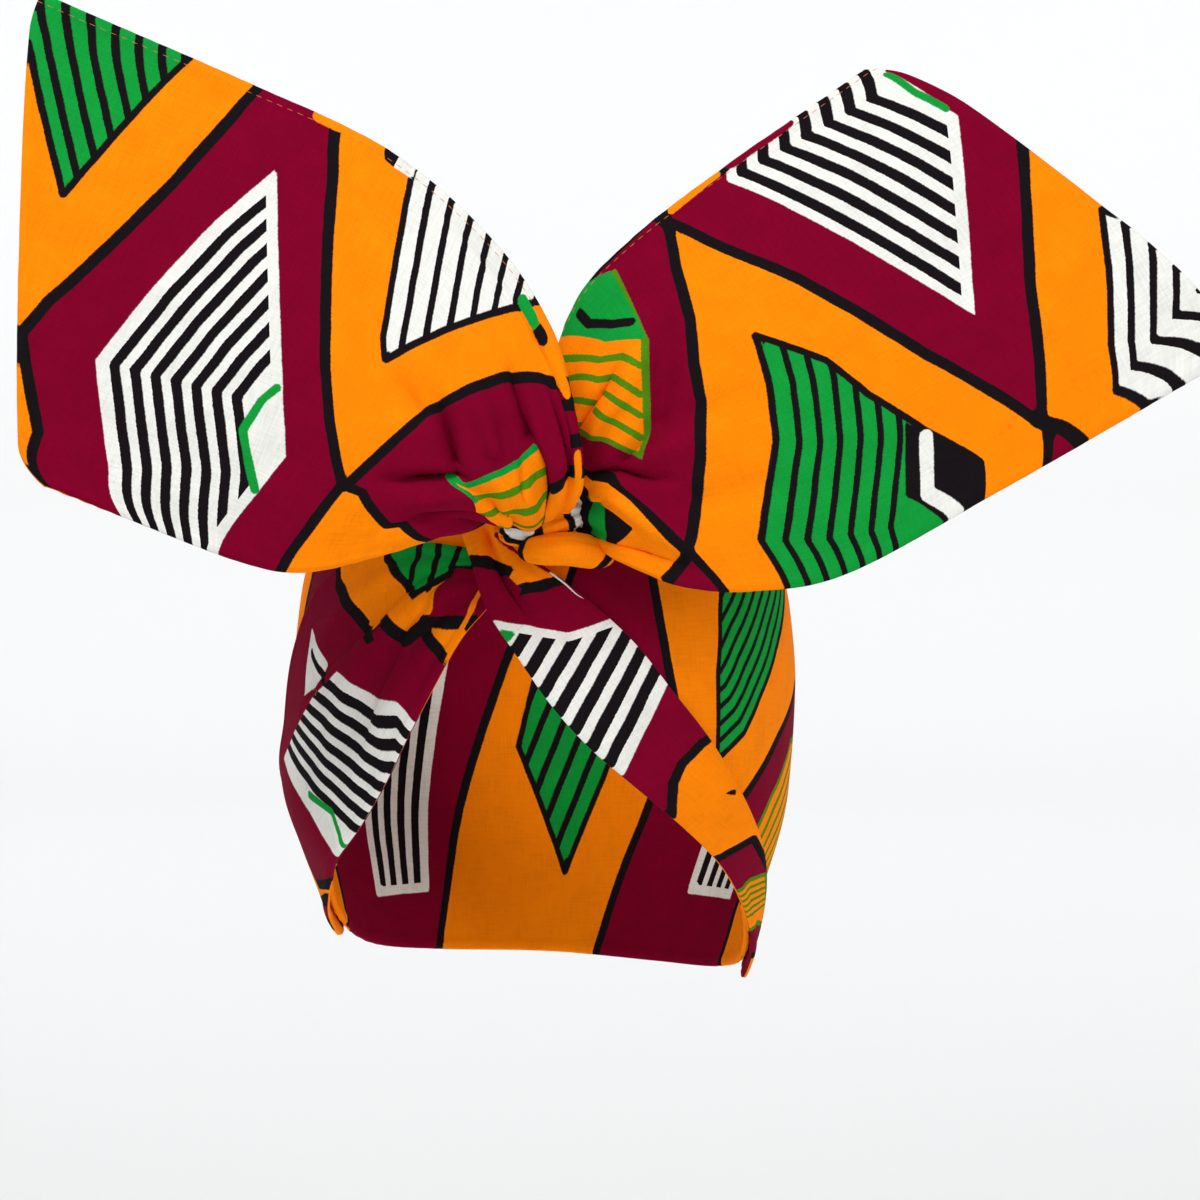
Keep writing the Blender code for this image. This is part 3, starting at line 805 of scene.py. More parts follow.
def raised(points, relief, along, across, edge, facing):
    """Return a cloth whose points are moved out of their grid by a relief."""
    points = points + grid_normals(points) * (facing * relief)[:, :, None]
    return Cloth(points, along, across, edge, facing)


def outward(points):
    """Return 1 if the normals of a grid round the hollow point away from it, or else -1."""
    return math.copysign(1.0, np.sum(grid_normals(points)[0, 0] * points[0, 0] * (1.0, 1.0, 0.0)))


def cut_end(parts, end_round):
    """Return how far a cut end reaches out across its width, with its corners rounded off."""
    shape = end_round * (1.0 - (2.0 * parts - 1.0) ** END_ROUND_POWER)
    shape -= LOW_CORNER_ROUND * np.clip(1.0 - parts / CORNER_REACH, 0.0, 1.0) ** 2
    shape -= HIGH_CORNER_ROUND * np.clip(1.0 - (1.0 - parts) / CORNER_REACH, 0.0, 1.0) ** 2
    return shape


def ear_surface(sections, folds, sag, end_round, cut_offset, look):
    """Lay out one ear between its wired edges, with its gathers."""
    fine = smooth_rows(sections, np.linspace(0.0, 1.0, FINE_STEPS))
    length = (run_lengths(fine[:, :3])[-1] + run_lengths(fine[:, 3:])[-1]) / 2.0
    shares = even_shares(sections, seam_marks(length, CELL, low_seam=False))
    parts = seam_marks(STRIP_WIDTH, CELL)
    rows = smooth_rows(sections, shares)
    points = between(rows[:, None, :3], rows[:, None, 3:], parts[None, :, None])
    hump = np.sin(math.pi * parts)[None, :]
    points[:, :, 1] -= smooth_rows(EAR_BOW, shares) * hump
    points[:, :, 2] -= smooth_rows(sag, shares) * hump ** 2
    out = unit(np.cross(rows[-1, 3:] - rows[-1, :3], (0.0, 1.0, 0.0)))
    out *= math.copysign(1.0, np.dot(out, rows[-1, :3]))
    points += out * ((shares ** END_REACH_POWER)[:, None] * cut_end(parts, end_round))[:, :, None]

    low_run, high_run = run_lengths(rows[:, :3]), run_lengths(rows[:, 3:])
    high_run = high_run + low_run[-1] + cut_offset - high_run[-1]
    along = between(low_run[:, None], high_run[:, None], parts[None, :])
    across = np.broadcast_to(parts * STRIP_WIDTH, along.shape)
    slant = math.cos(math.atan2(cut_offset, STRIP_WIDTH))
    edge = np.minimum(np.minimum(across, STRIP_WIDTH - across), (along[-1:] - along) * slant)
    facing = -1.0 if grid_normals(points)[-1, 0, 1] > 0 else 1.0
    calm = smooth_step(shares / ROOT_CALM)[:, None]
    relief = gather_relief(folds, shares, parts)
    relief += calm * (waviness(look, along, across) + pucker(along, edge, look.seed + 2))
    return raised(points, relief, along, across, edge, facing)


def cuff_surface(sections, folds, width, look):
    """Lay out one cuff over the band, from its fold line to its sewn edge."""
    lift = INNER_GAP + look.under + LAYER_GAP + look.thickness / 2.0
    fine = np.linspace(0.0, 1.0, FINE_STEPS)
    rows = smooth_rows(sections, fine)
    fold_run = run_lengths(on_form(rows[:, 0], rows[:, 1], lift))
    seam_run = run_lengths(on_form(rows[:, 2], rows[:, 3], lift))
    mean = (fold_run + seam_run) / 2.0
    shares = np.interp(seam_marks(mean[-1], CELL) * mean[-1], mean, fine)
    parts = seam_marks(width, CELL)
    fold_angle, fold_height, seam_angle, seam_height, layer = smooth_rows(sections, shares).T[:, :, None]
    points = on_form(between(fold_angle, seam_angle, parts), between(fold_height, seam_height, parts),
                     lift + layer)
    along = between(np.interp(shares, fine, fold_run)[:, None], np.interp(shares, fine, seam_run)[:, None],
                    parts)
    across = run_lengths(points.transpose(1, 0, 2)).T
    edge = np.minimum(across, across[:, -1:] - across)
    relief = gather_relief(folds, shares, parts) + waviness(look, along, across)
    return raised(points, relief, along, across, edge, outward(points))


def band_surface(look):
    """Lay out the band round the sides and the back."""
    first, last = BAND_SECTIONS[0][0], BAND_SECTIONS[-1][0]
    lift = INNER_GAP + look.thickness / 2.0
    fine = np.linspace(first, last, BAND_FINE_STEPS)
    edges = smooth_rows(BAND_SECTIONS, fine)
    middle = run_lengths(on_form(fine, (edges[:, 0] + edges[:, 1]) / 2.0, lift))
    angles = np.interp(np.linspace(0.0, middle[-1], int(middle[-1] / BAND_CELL) + 1), middle, fine)
    parts = seam_marks(BAND_WIDTH, BAND_CELL)
    low, high, flare = smooth_rows(BAND_SECTIONS, angles).T[:, :, None]
    height = between(low, high, parts)
    points = on_form(angles[:, None], height, lift + flare * parts ** FLARE_POWER)
    along = np.broadcast_to(np.interp(angles, fine, middle)[:, None], height.shape)
    edge = np.minimum(height - low, high - height)
    shares = (angles - first) / (last - first)
    relief = gather_relief(BAND_FOLDS, np.minimum(shares, 1.0 - shares), parts)
    relief += waviness(look, along, height) + pucker(along, edge, look.seed + 2)
    return raised(points, relief, along, height, edge, outward(points))


def segment_distance(start, end, along, across):
    """Return the distance to a straight stretch on the flat cloth."""
    run_along, run_across = end[0] - start[0], end[1] - start[1]
    gone = (along - start[0]) * run_along + (across - start[1]) * run_across
    share = np.clip(gone / (run_along ** 2 + run_across ** 2), 0.0, 1.0)
    return np.hypot(along - start[0] - share * run_along, across - start[1] - share * run_across)


def line_distance(points, along, across):
    """Return the distance to a line of straight stretches."""
    stretches = [segment_distance(start, end, along, across) for start, end in zip(points, points[1:])]
    return np.minimum.reduce(stretches)


def outline_distance(corners, along, across):
    """Return the distance to a closed outline, negative inside it."""
    closed = corners + corners[:1]
    inside = np.zeros(along.shape, dtype=bool)
    for (from_along, from_across), (to_along, to_across) in zip(closed, closed[1:]):
        if from_across != to_across:
            slope = (to_along - from_along) / (to_across - from_across)
            passes = (from_across > across) != (to_across > across)
            inside ^= passes & (along < slope * (across - from_across) + from_along)
    distance = line_distance(closed, along, across)
    return np.where(inside, -distance, distance)


def lengthened(points):
    """Carry the first and last stretches of a line on well past its ends."""
    ends = []
    for tip, inner in ((points[0], points[1]), (points[-1], points[-2])):
        away = np.subtract(tip, inner)
        ends.append(tuple(np.add(tip, away * PAST_THE_END / np.linalg.norm(away))))
    return (ends[0],) + tuple(points[1:-1]) + (ends[1],)


def stripe_marks(motif, along, across):
    """Return how far each point is across the stripes of a motif, and the room left for them."""
    if not motif.stripe:
        return np.full(along.size, -1.0), np.full(along.size, FAR)
    lead = lengthened(motif.corners[:motif.leads + 1])
    run = line_distance(lead, along, across) - motif.first
    rest = motif.corners[motif.leads:] + motif.corners[:1]
    room = line_distance(rest, along, across) - motif.margin
    return run, np.minimum(room, (motif.count - LAST_GAP) * motif.pitch - run)


def ink_code(ink):
    """Return the number of an ink."""
    return INKS.index(ink) if ink else NO_INK


def print_marks(chart, along, across):
    """Work out how each point of the flat cloth lies to the outlines of the print."""
    along, across = np.array(along, dtype=float).ravel(), np.array(across, dtype=float).ravel()
    marks = {name: np.full((along.size, 3), FAR) for name in PRINT_ATTRIBUTES}
    edges, stripes, inks, patches, extra = (marks[name] for name in PRINT_ATTRIBUTES)
    stripes[:] = (-1.0, FAR, 0.0)
    inks[:] = NO_INK
    extra[:, 1] = NO_INK
    for corners in chart.fields:
        edges[:, 0] = np.minimum(edges[:, 0], outline_distance(corners, along, across))
    for motif in chart.motifs:
        distance = outline_distance(motif.corners, along, across)
        near = distance < edges[:, 1]
        edges[near, 1] = distance[near]
        run, room = stripe_marks(motif, along, across)
        stripes[near, 0] = run[near]
        stripes[near, 1:] = (motif.pitch, motif.width)
        inks[near] = [ink_code(ink) for ink in (motif.fill, motif.outline, motif.stripe)]
        extra[near, 0] = room[near]
    for patch in chart.patches:
        distance = outline_distance(patch.corners, along, across)
        near = distance < patches[:, 0]
        patches[near, 0] = distance[near]
        patches[near, 1] = ink_code(patch.ink)
    for stroke in chart.strokes:
        distance = line_distance(stroke.points, along, across) - stroke.width / 2.0
        near = distance < edges[:, 2]
        edges[near, 2] = distance[near]
        extra[near, 1] = ink_code(stroke.ink)
    return marks


def in_photo(points):
    """Return where points in millimetres fall in the photo."""
    camera = np.array(CAMERA_PLACE) / MM
    scale = PHOTO_SIZE * CAMERA_LENS / SENSOR_WIDTH / (points[..., 1] - camera[1])
    right = PHOTO_SIZE / 2.0 + (points[..., 0] - camera[0]) * scale
    return np.stack([right, PHOTO_SIZE / 2.0 - (points[..., 2] - camera[2]) * scale], axis=-1)


def flat_reader(cloth, thickness):
    """Return a function that finds places of the photo on the flat cloth."""
    normals = grid_normals(cloth.points) * cloth.facing
    surface = cloth.points + normals * thickness / 2.0
    seen = np.sum(normals * (surface - np.array(CAMERA_PLACE) / MM), axis=2) < 0.0
    pixels = in_photo(surface)[seen]
    flat = np.stack([cloth.along, cloth.across], axis=2)[seen]
    if len(pixels) < NEAREST:
        raise RuntimeError("Too little of this cloth faces the camera to read the photo's places on it")

    def read(spots):
        """Fit the cloth round each spot with a plane and read the plane there."""
        places = []
        for spot in spots:
            near = np.argsort(np.linalg.norm(pixels - spot, axis=1))[:NEAREST]
            terms = np.column_stack([pixels[near] - spot, np.ones(NEAREST)])
            place = np.linalg.lstsq(terms, flat[near], rcond=None)[0][2]
            step = place - flat[near[0]]
            reach = READING_REACH * (1.0 + np.linalg.norm(pixels[near[0]] - spot))
            step *= min(1.0, reach / max(np.linalg.norm(step), reach))
            places.append(tuple(flat[near[0]] + step))
        return tuple(places)

    return read


def laid_on(cloth, thickness, spots, lift):
    """Return points in millimetres that lie just off the cloth at places of the photo."""
    surface = cloth.points + grid_normals(cloth.points) * cloth.facing * (thickness / 2.0 + lift)
    pixels = in_photo(surface).reshape(-1, 2)
    return [surface.reshape(-1, 3)[np.argmin(np.linalg.norm(pixels - spot, axis=1))] for spot in spots]


def flattened(chart, read):
    """Turn a chart of places in the photo into one of places on the flat cloth."""
    return Chart(fields=tuple(read(corners) for corners in chart.fields),
                 motifs=tuple(motif._replace(corners=read(motif.corners)) for motif in chart.motifs),
                 patches=tuple(patch._replace(corners=read(patch.corners)) for patch in chart.patches),
                 strokes=tuple(stroke._replace(points=read(stroke.points)) for stroke in chart.strokes))


def creased(cloth, thickness, creases):
    """Press the creases that were read off the photo into a cloth."""
    read = flat_reader(cloth, thickness)
    flat = [crease._replace(points=read(crease.points)) for crease in creases]
    relief = crease_relief(flat, np.array(cloth.along), np.array(cloth.across))
    return raised(cloth.points, relief, *cloth[1:])


def repeated_print(cloth, starts):
    """Chart cloth that the photo doesn't show, by the print's own repeat from each start."""
    low = min(float(cloth.across.min()), 0.0) - REPEAT_OVERHANG
    high = max(float(cloth.across.max()), STRIP_WIDTH) + REPEAT_OVERHANG

    def placed(shape, start):
        """Place one shape of the repeat on the flat cloth."""
        return tuple((start + along, between(low, high, share)) for along, share in shape)

    motifs = tuple(motif._replace(corners=placed(motif.corners, start))
                   for motif in (WHITE_KITE, GREEN_KITE) for start in starts)
    return Chart(tuple(placed(ZIGZAG, start) for start in starts), motifs, (), ())


def back_chart(cloth):
    """Chart the side of the cloth that lies away from the viewer."""
    first = math.floor(cloth.along.min() / REPEAT) - 1
    return repeated_print(cloth, [k * REPEAT for k in range(first, int(cloth.along.max() / REPEAT) + 1)])


def joined(chart, more):
    """Put two charts of the same cloth together."""
    return Chart(*(first + second for first, second in zip(chart, more)))


def border_loop(rows, columns):
    """Return the border of a grid in order, with the neighbour inside it at each point."""
    border = [(i, 0, i, 1) for i in range(rows - 1)]
    border += [(rows - 1, j, rows - 2, j) for j in range(columns - 1)]
    border += [(i, columns - 1, i, columns - 2) for i in range(rows - 1, 0, -1)]
    border += [(0, j, 1, j) for j in range(columns - 1, 0, -1)]
    table = np.array(border)
    at_corner = np.isin(table[:, 0], (0, rows - 1)) & np.isin(table[:, 1], (0, columns - 1))
    table[at_corner, 2] = np.where(table[at_corner, 0] == 0, 1, rows - 2)
    table[at_corner, 3] = np.where(table[at_corner, 1] == 0, 1, columns - 2)
    return table.T


def add_object(name, data):
    """Put a new object into the scene."""
    made = bpy.data.objects.new(name, data)
    bpy.context.scene.collection.objects.link(made)
    return made


def fill_mesh(name, points, faces, uvs, attributes):
    """Make a finished smooth piece from points in millimetres, with its faces outwards."""
    first, second, third, fourth = (points[faces[:, k]] for k in range(4))
    if np.sum(np.cross(first, second) * third) + np.sum(np.cross(first, third) * fourth) < 0:
        faces = faces[:, ::-1]
    mesh = bpy.data.meshes.new(name)
    mesh.from_pydata((points * MM).tolist(), [], [tuple(dict.fromkeys(face)) for face in faces.tolist()])
    corner = np.zeros(len(mesh.loops), dtype=np.int32)
    mesh.loops.foreach_get("vertex_index", corner)
    layer = mesh.uv_layers.new(name=CLOTH_MAP)
    layer.data.foreach_set("uv", (uvs * MM)[corner].astype(np.float32).ravel())
    for key, values in attributes.items():
        attribute = mesh.attributes.new(key, "FLOAT_VECTOR", "POINT")
        attribute.data.foreach_set("vector", values.astype(np.float32).ravel())
    mesh.shade_smooth()
    return add_object(name, mesh)


def wall(cloth, thickness):
    """Return the normals of a cloth's front and how far its front lies from its middle."""
    ridge = settings()[0].wire_ridge / MM
    half = thickness / 2.0 + ridge * seam_ridge(cloth.edge)
    return grid_normals(cloth.points) * cloth.facing, half[:, :, None]


def rim_rings(cloth, normals, half, border):
    """Return the rings of points that close the rim, from the front round to the back."""
    row, column, inner_row, inner_column = border
    points, normals = cloth.points[row, column], normals[row, column]
    out = points - cloth.points[inner_row, inner_column]
    out = unit(out - np.sum(out * normals, axis=1, keepdims=True) * normals)
    return [points + half[row, column] * (out * (math.sin(turn) * reach) + normals * math.cos(turn))
            for turn, reach in zip(np.radians(RIM_TURNS), RIM_REACH)]


def sheet_faces(grid, border, rings):
    """Return the faces of both sides of a grid and of the rings that close its rim."""
    near, far = grid[:-1], grid[1:]
    quads = [part.ravel() for part in (near[:, :-1], far[:, :-1], far[:, 1:], near[:, 1:])]
    faces = [np.stack(quads, axis=1), np.stack([quads[0]] + quads[:0:-1], axis=1) + grid.size]
    rim = grid[border[0], border[1]]
    loops = [rim] + [2 * grid.size + k * len(rim) + np.arange(len(rim)) for k in range(rings)]
    loops.append(rim + grid.size)
    for here, there in zip(loops, loops[1:]):
        faces.append(np.stack([here, there, np.roll(there, -1), np.roll(here, -1)], axis=1))
    return np.concatenate(faces)


def sheet_piece(name, cloth, thickness, front_chart):
    """Close a grid of cloth into one wall with a sewn rim, and give both faces their print."""
    grid = np.arange(cloth.along.size).reshape(cloth.along.shape)
    normals, half = wall(cloth, thickness)
    border = border_loop(*grid.shape)
    rings = rim_rings(cloth, normals, half, border)
    front, back = cloth.points + normals * half, cloth.points - normals * half
    points = np.concatenate([front.reshape(-1, 3), back.reshape(-1, 3)] + rings)
    flat = np.stack([cloth.along, cloth.across], axis=2)
    uvs = np.concatenate([flat.reshape(-1, 2)] * 2 + [flat[border[0], border[1]]] * len(rings))
    front_rings = len(rings) // 2 * len(rings[0])
    counts = (grid.size, grid.size, front_rings, len(rings) * len(rings[0]) - front_rings)
    is_front = np.repeat((True, False, True, False), counts)[:, None]
    marks = print_marks(front_chart, uvs[:, 0], uvs[:, 1])
    behind = print_marks(back_chart(cloth), uvs[:, 0], uvs[:, 1])
    marks = {key: np.where(is_front, marks[key], behind[key]) for key in marks}
    return fill_mesh(name, points, sheet_faces(grid, border, len(rings)), uvs, marks)


def seam_line(cloth, thickness):
    """Return the line on the front of an ear where its closing seam is sewn."""
    normals, half = wall(cloth, thickness)
    column = int(np.argmin(np.abs(cloth.across[-1] - (cloth.across.max() - STITCH_PLACE))))
    line = (cloth.points + normals * half)[:, column]
    return line[int(len(line) * FIRST_STITCH):]


def roll_piece(name, roll, chart):
    """Sweep a closed roll along its path; its lobes turn as they go."""
    shares = np.linspace(0.0, 1.0, roll.steps + 1)[1:-1]
    centres = smooth_rows(roll.path, shares)
    ahead = unit(smooth_rows(roll.path, np.minimum(shares + ROLL_LEAD, 1.0))
                 - smooth_rows(roll.path, np.maximum(shares - ROLL_LEAD, 0.0)))
    side = unit(np.cross(ahead, (0.0, 1.0, 0.0)))
    up = np.cross(side, ahead)
    size = roll.radius * np.sqrt(1.0 - np.abs(2.0 * shares - 1.0) ** ROLL_END_BLUNTNESS)
    size *= 1.0 - roll.taper * shares
    turns = math.pi / 2.0 + np.linspace(0.0, 2.0 * math.pi, roll.around, endpoint=False)
    reach = np.ones((len(shares), roll.around))
    for count, height, twist in roll.lobes:
        lobe = np.cos(count * turns[None, :] / 2.0 + math.radians(twist) * shares[:, None])
        reach -= height * np.abs(lobe) ** LOBE_SHARPNESS
    spoke = side[:, None, :] * np.cos(turns)[None, :, None]
    spoke = spoke + up[:, None, :] * np.sin(turns)[None, :, None] * roll.depth
    rings = centres[:, None, :] + spoke * (size[:, None] * reach)[:, :, None]
    points = np.concatenate([rings.reshape(-1, 3), smooth_rows(roll.path, (0.0, 1.0))])
    grid = np.arange(reach.size).reshape(reach.shape)
    here, there = grid[:-1], grid[1:]
    faces = [np.stack([here, np.roll(here, -1, 1), np.roll(there, -1, 1), there], axis=2).reshape(-1, 4)]
    start, end = np.full(roll.around, grid.size), np.full(roll.around, grid.size + 1)
    faces.append(np.stack([start, start, np.roll(grid[0], -1), grid[0]], axis=1))
    faces.append(np.stack([grid[-1], np.roll(grid[-1], -1), end, end], axis=1))
    length = run_lengths(smooth_rows(roll.path, np.linspace(0.0, 1.0, ROLL_MEASURES)))[-1]
    along = np.repeat(shares * length, roll.around)
    across = np.tile(turns * roll.radius, len(shares))
    uvs = np.concatenate([np.stack([along, across], axis=1), [[0.0, 0.0], [length, 0.0]]])
    marks = print_marks(chart, uvs[:, 0], uvs[:, 1])
    return fill_mesh(name, points, np.concatenate(faces), uvs, marks)


def plug(tree, socket, value):
    """Join a socket to another one, or set it to a plain value."""
    if isinstance(value, bpy.types.NodeSocket):
        tree.links.new(value, socket)
    else:
        socket.default_value = value


def add_node(tree, kind, inputs=None, **properties):
    """Add a node, set its own properties, fill its inputs and return it."""
    node = tree.nodes.new(kind)
    for key, value in properties.items():
        setattr(node, key, value)
    for key, value in (inputs or {}).items():
        plug(tree, node.inputs[key], value)
    return node


def calculate(tree, operation, *values):
    """Return the outcome of one sum on sockets and numbers."""
    return add_node(tree, "ShaderNodeMath", dict(enumerate(values)), operation=operation).outputs[0]


def below(tree, value, limit, softness):
    """Return 1 where a distance is under a limit and 0 past it, with a soft edge."""
    inputs = {"Value": value, "From Min": limit - softness, "From Max": limit + softness,
              "To Min": 1.0, "To Max": 0.0}
    return add_node(tree, "ShaderNodeMapRange", inputs, clamp=True).outputs["Result"]


def lay_over(tree, share, under, over, blend_type="MIX"):
    """Print one colour over another where the share says so."""
    inputs = {"Factor": share, "A": under, "B": over}
    return add_node(tree, "ShaderNodeMix", inputs, data_type="RGBA", blend_type=blend_type).outputs["Result"]


def separate(tree, vector):
    """Split a vector into its three numbers."""
    return add_node(tree, "ShaderNodeSeparateXYZ", {0: vector}).outputs


def stored(tree, name):
    """Read one of the mesh's own attributes as three numbers."""
    return separate(tree, add_node(tree, "ShaderNodeAttribute", attribute_name=name).outputs["Vector"])


def opaque(colour):
    """Return a colour with nothing showing through it."""
    return (*colour, 1.0)


def ink_colour(tree, code, colours):
    """Turn the number of an ink into its colour."""
    place = calculate(tree, "DIVIDE", calculate(tree, "ADD", code, 0.5), float(len(INKS)))
    ramp = add_node(tree, "ShaderNodeValToRGB", {0: place})
    ramp.color_ramp.interpolation = "CONSTANT"
    stops = ramp.color_ramp.elements
    while len(stops) < len(INKS):
        stops.new(SPARE_STOP)
    for k, ink in enumerate(INKS):
        stops[k].position = k / len(INKS)
        stops[k].color = opaque(getattr(colours, ink))
    return ramp.outputs["Color"]


def cloth_noise(tree, place, scale, detail=PLAIN_DETAIL, stretch=(1.0, 1.0, 1.0)):
    """Return a random value over the flat cloth, centred on 0."""
    mapping = add_node(tree, "ShaderNodeMapping", {"Scale": stretch, "Vector": place})
    inputs = {"Scale": scale, "Detail": detail, "Vector": mapping.outputs[0]}
    return calculate(tree, "SUBTRACT", add_node(tree, "ShaderNodeTexNoise", inputs).outputs["Fac"], 0.5)


def new_material(name):
    """Return a new material that is made of nodes."""
    material = bpy.data.materials.new(name)
    material.use_nodes = True
    return material


def fill_shader(material, inputs, height=None, strength=1.0, distance=1.0):
    """Fill the inputs of a material's shader, and roughen its surface with a height."""
    tree = material.node_tree
    if height is not None:
        values = {"Strength": strength, "Distance": distance, "Height": height}
        inputs = inputs | {"Normal": add_node(tree, "ShaderNodeBump", values).outputs[0]}
    for name, value in inputs.items():
        plug(tree, tree.nodes["Principled BSDF"].inputs[name], value)


def ground_colour(tree, field, line, bleed, colours):
    """Print the fields and the line round them."""
    inside = below(tree, field, 0.0, bleed)
    ground = lay_over(tree, inside, opaque(colours.orange), opaque(colours.maroon))
    on_line = below(tree, calculate(tree, "ABSOLUTE", field), line, bleed)
    return lay_over(tree, on_line, ground, opaque(colours.black))


def motif_colour(tree, run, room, stripes, inks, bleed, colours):
    """Fill the motifs and print their stripes where there is room for them."""
    phase = calculate(tree, "FLOORED_MODULO", run, stripes[1])
    on_stripe = below(tree, calculate(tree, "SUBTRACT", phase, stripes[2]), 0.0, bleed)
    for distance in (run, room):
        on_stripe = calculate(tree, "MULTIPLY", on_stripe, calculate(tree, "GREATER_THAN", distance, 0.0))
    return lay_over(tree, on_stripe, ink_colour(tree, inks[0], colours), ink_colour(tree, inks[2], colours))


def print_colour(tree, place, sizes, colours):
    """Lay the inks down in order: fields, motifs, their outlines, patches and strokes."""
    bleed, line = sizes.ink_bleed / MM, sizes.line_width / MM / 2.0
    wander = calculate(tree, "MULTIPLY", cloth_noise(tree, place, INK_WANDER_SCALE), INK_WANDER)
    fray = calculate(tree, "MULTIPLY", cloth_noise(tree, place, INK_FRAY_SCALE), INK_FRAY)
    wobble = calculate(tree, "ADD", wander, fray)
    edges, stripes, inks, patches, extra = (stored(tree, name) for name in PRINT_ATTRIBUTES)
    field, motif, run, patch, stroke = (
        calculate(tree, "ADD", distance, wobble)
        for distance in (edges[0], edges[1], stripes[0], patches[0], edges[2]))
    cloth = ground_colour(tree, field, line, bleed, colours)
    figure = motif_colour(tree, run, extra[0], stripes, inks, bleed, colours)
    cloth = lay_over(tree, below(tree, motif, 0.0, bleed), cloth, figure)
    on_outline = below(tree, calculate(tree, "ABSOLUTE", motif), line * OUTLINE_SHARE, bleed)
    on_outline = calculate(tree, "MULTIPLY", on_outline, calculate(tree, "GREATER_THAN", inks[1], -0.5))
    cloth = lay_over(tree, on_outline, cloth, ink_colour(tree, inks[1], colours))
    for distance, code in ((patch, patches[1]), (stroke, extra[1])):
        cloth = lay_over(tree, below(tree, distance, 0.0, bleed), cloth, ink_colour(tree, code, colours))
    return cloth


def yarns(tree, place, sizes):
    """Return the weave and the slubs of the yarns over the flat cloth."""
    turns = 2.0 * math.pi / (sizes.weave_pitch / MM)
    flat = separate(tree, place)
    waves = [calculate(tree, "SINE", calculate(tree, "MULTIPLY", flat[k], turns)) for k in range(2)]
    slubs = [cloth_noise(tree, place, SLUB_SCALE, SLUB_DETAIL, stretch)
             for stretch in (WARP_SLUBS, WEFT_SLUBS)]
    return calculate(tree, "MULTIPLY", *waves), calculate(tree, "ADD", *slubs)


def printed_cotton(sizes, colours):
    """Make the printed cotton: inks laid down by the marks that the cloth carries."""
    material = new_material("printed_cotton")
    tree = material.node_tree
    flat = add_node(tree, "ShaderNodeUVMap", uv_map=CLOTH_MAP).outputs[0]
    scaled = add_node(tree, "ShaderNodeVectorMath", {0: flat, "Scale": 1.0 / MM}, operation="SCALE")
    place = scaled.outputs[0]
    weave, slubs = yarns(tree, place, sizes)
    mottle = cloth_noise(tree, place, MOTTLE_SCALE, MOTTLE_DETAIL)
    tone = calculate(tree, "MULTIPLY_ADD", slubs, SLUB_TONE, 1.0)
    tone = calculate(tree, "MULTIPLY_ADD", mottle, MOTTLE_TONE, tone)
    tone = calculate(tree, "MULTIPLY_ADD", weave, WEAVE_TONE, tone)
    shade = add_node(tree, "ShaderNodeCombineColor", {0: tone, 1: tone, 2: tone}).outputs[0]
    colour = lay_over(tree, 1.0, print_colour(tree, place, sizes, colours), shade, "MULTIPLY")
    height = calculate(tree, "MULTIPLY", slubs, SLUB_HEIGHT)
    height = calculate(tree, "MULTIPLY_ADD", weave, WEAVE_HEIGHT, height)
    inputs = {"Base Color": colour, "Roughness": COTTON_ROUGHNESS, "Specular IOR Level": COTTON_GLOSS}
    fill_shader(material, inputs, height, GRAIN_STRENGTH, GRAIN_HEIGHT * MM)
    return material


def thread_material(name, sizes, colour):
    """Make a sewing thread: twisted cotton with painted shade in the grooves between its plies, darker where
    its bump is low.
    """
    material = new_material(name)
    tree = material.node_tree
    place = add_node(tree, "ShaderNodeTexCoord").outputs["Object"]
    plies = add_node(tree, "ShaderNodeTexNoise", {"Scale": 1.0 / sizes.thread_radius, "Vector": place})
    crown = plies.outputs["Fac"]
    # painted shade: the thread is darkened where the ply noise, which is also its bump height, is low
    mixed = lay_over(tree, crown, opaque(GROOVE_SHADE * part for part in colour), opaque(colour))
    fill_shader(material, {"Base Color": mixed, "Roughness": THREAD_ROUGHNESS}, crown,
                distance=sizes.thread_radius * PLY_HEIGHT)
    return material


def plain_material(name, colour, roughness):
    """Make a plain matt finish for the stage."""
    material = new_material(name)
    fill_shader(material, {"Base Color": opaque(colour), "Roughness": roughness})
    return material


def stitch_tree():
    """Build the node tree that lays stitches of thread along a line."""
    tree = bpy.data.node_groups.new("seam_stitches", "GeometryNodeTree")
    sockets = tree.interface
    sockets.new_socket("Geometry", in_out="INPUT", socket_type="NodeSocketGeometry")
    for name in ("Pitch", "Length", "Radius"):
        sockets.new_socket(name, in_out="INPUT", socket_type="NodeSocketFloat")
    sockets.new_socket("Material", in_out="INPUT", socket_type="NodeSocketMaterial")
    sockets.new_socket("Geometry", in_out="OUTPUT", socket_type="NodeSocketGeometry")
    given = add_node(tree, "NodeGroupInput").outputs
    path = add_node(tree, "GeometryNodeMeshToCurve", {"Mesh": given["Geometry"]})
    spots = add_node(tree, "GeometryNodeCurveToPoints", mode="LENGTH",
                     inputs={"Curve": path.outputs[0], "Length": given["Pitch"]}).outputs
    grain = add_node(tree, "GeometryNodeMeshUVSphere",
                     {"Segments": STITCH_SEGMENTS, "Rings": STITCH_RINGS, "Radius": 1.0})
    half = calculate(tree, "MULTIPLY", given["Length"], 0.5)
    size = add_node(tree, "ShaderNodeCombineXYZ", {"X": given["Radius"], "Y": given["Radius"], "Z": half})
    laid = add_node(tree, "GeometryNodeInstanceOnPoints",
                    {"Points": spots["Points"], "Instance": grain.outputs["Mesh"],
                     "Rotation": spots["Rotation"], "Scale": size.outputs[0]})
    real = add_node(tree, "GeometryNodeRealizeInstances", {0: laid.outputs[0]})
    inked = add_node(tree, "GeometryNodeSetMaterial",
                     {"Geometry": real.outputs[0], "Material": given["Material"]})
    add_node(tree, "NodeGroupOutput", {0: inked.outputs[0]})
    return tree


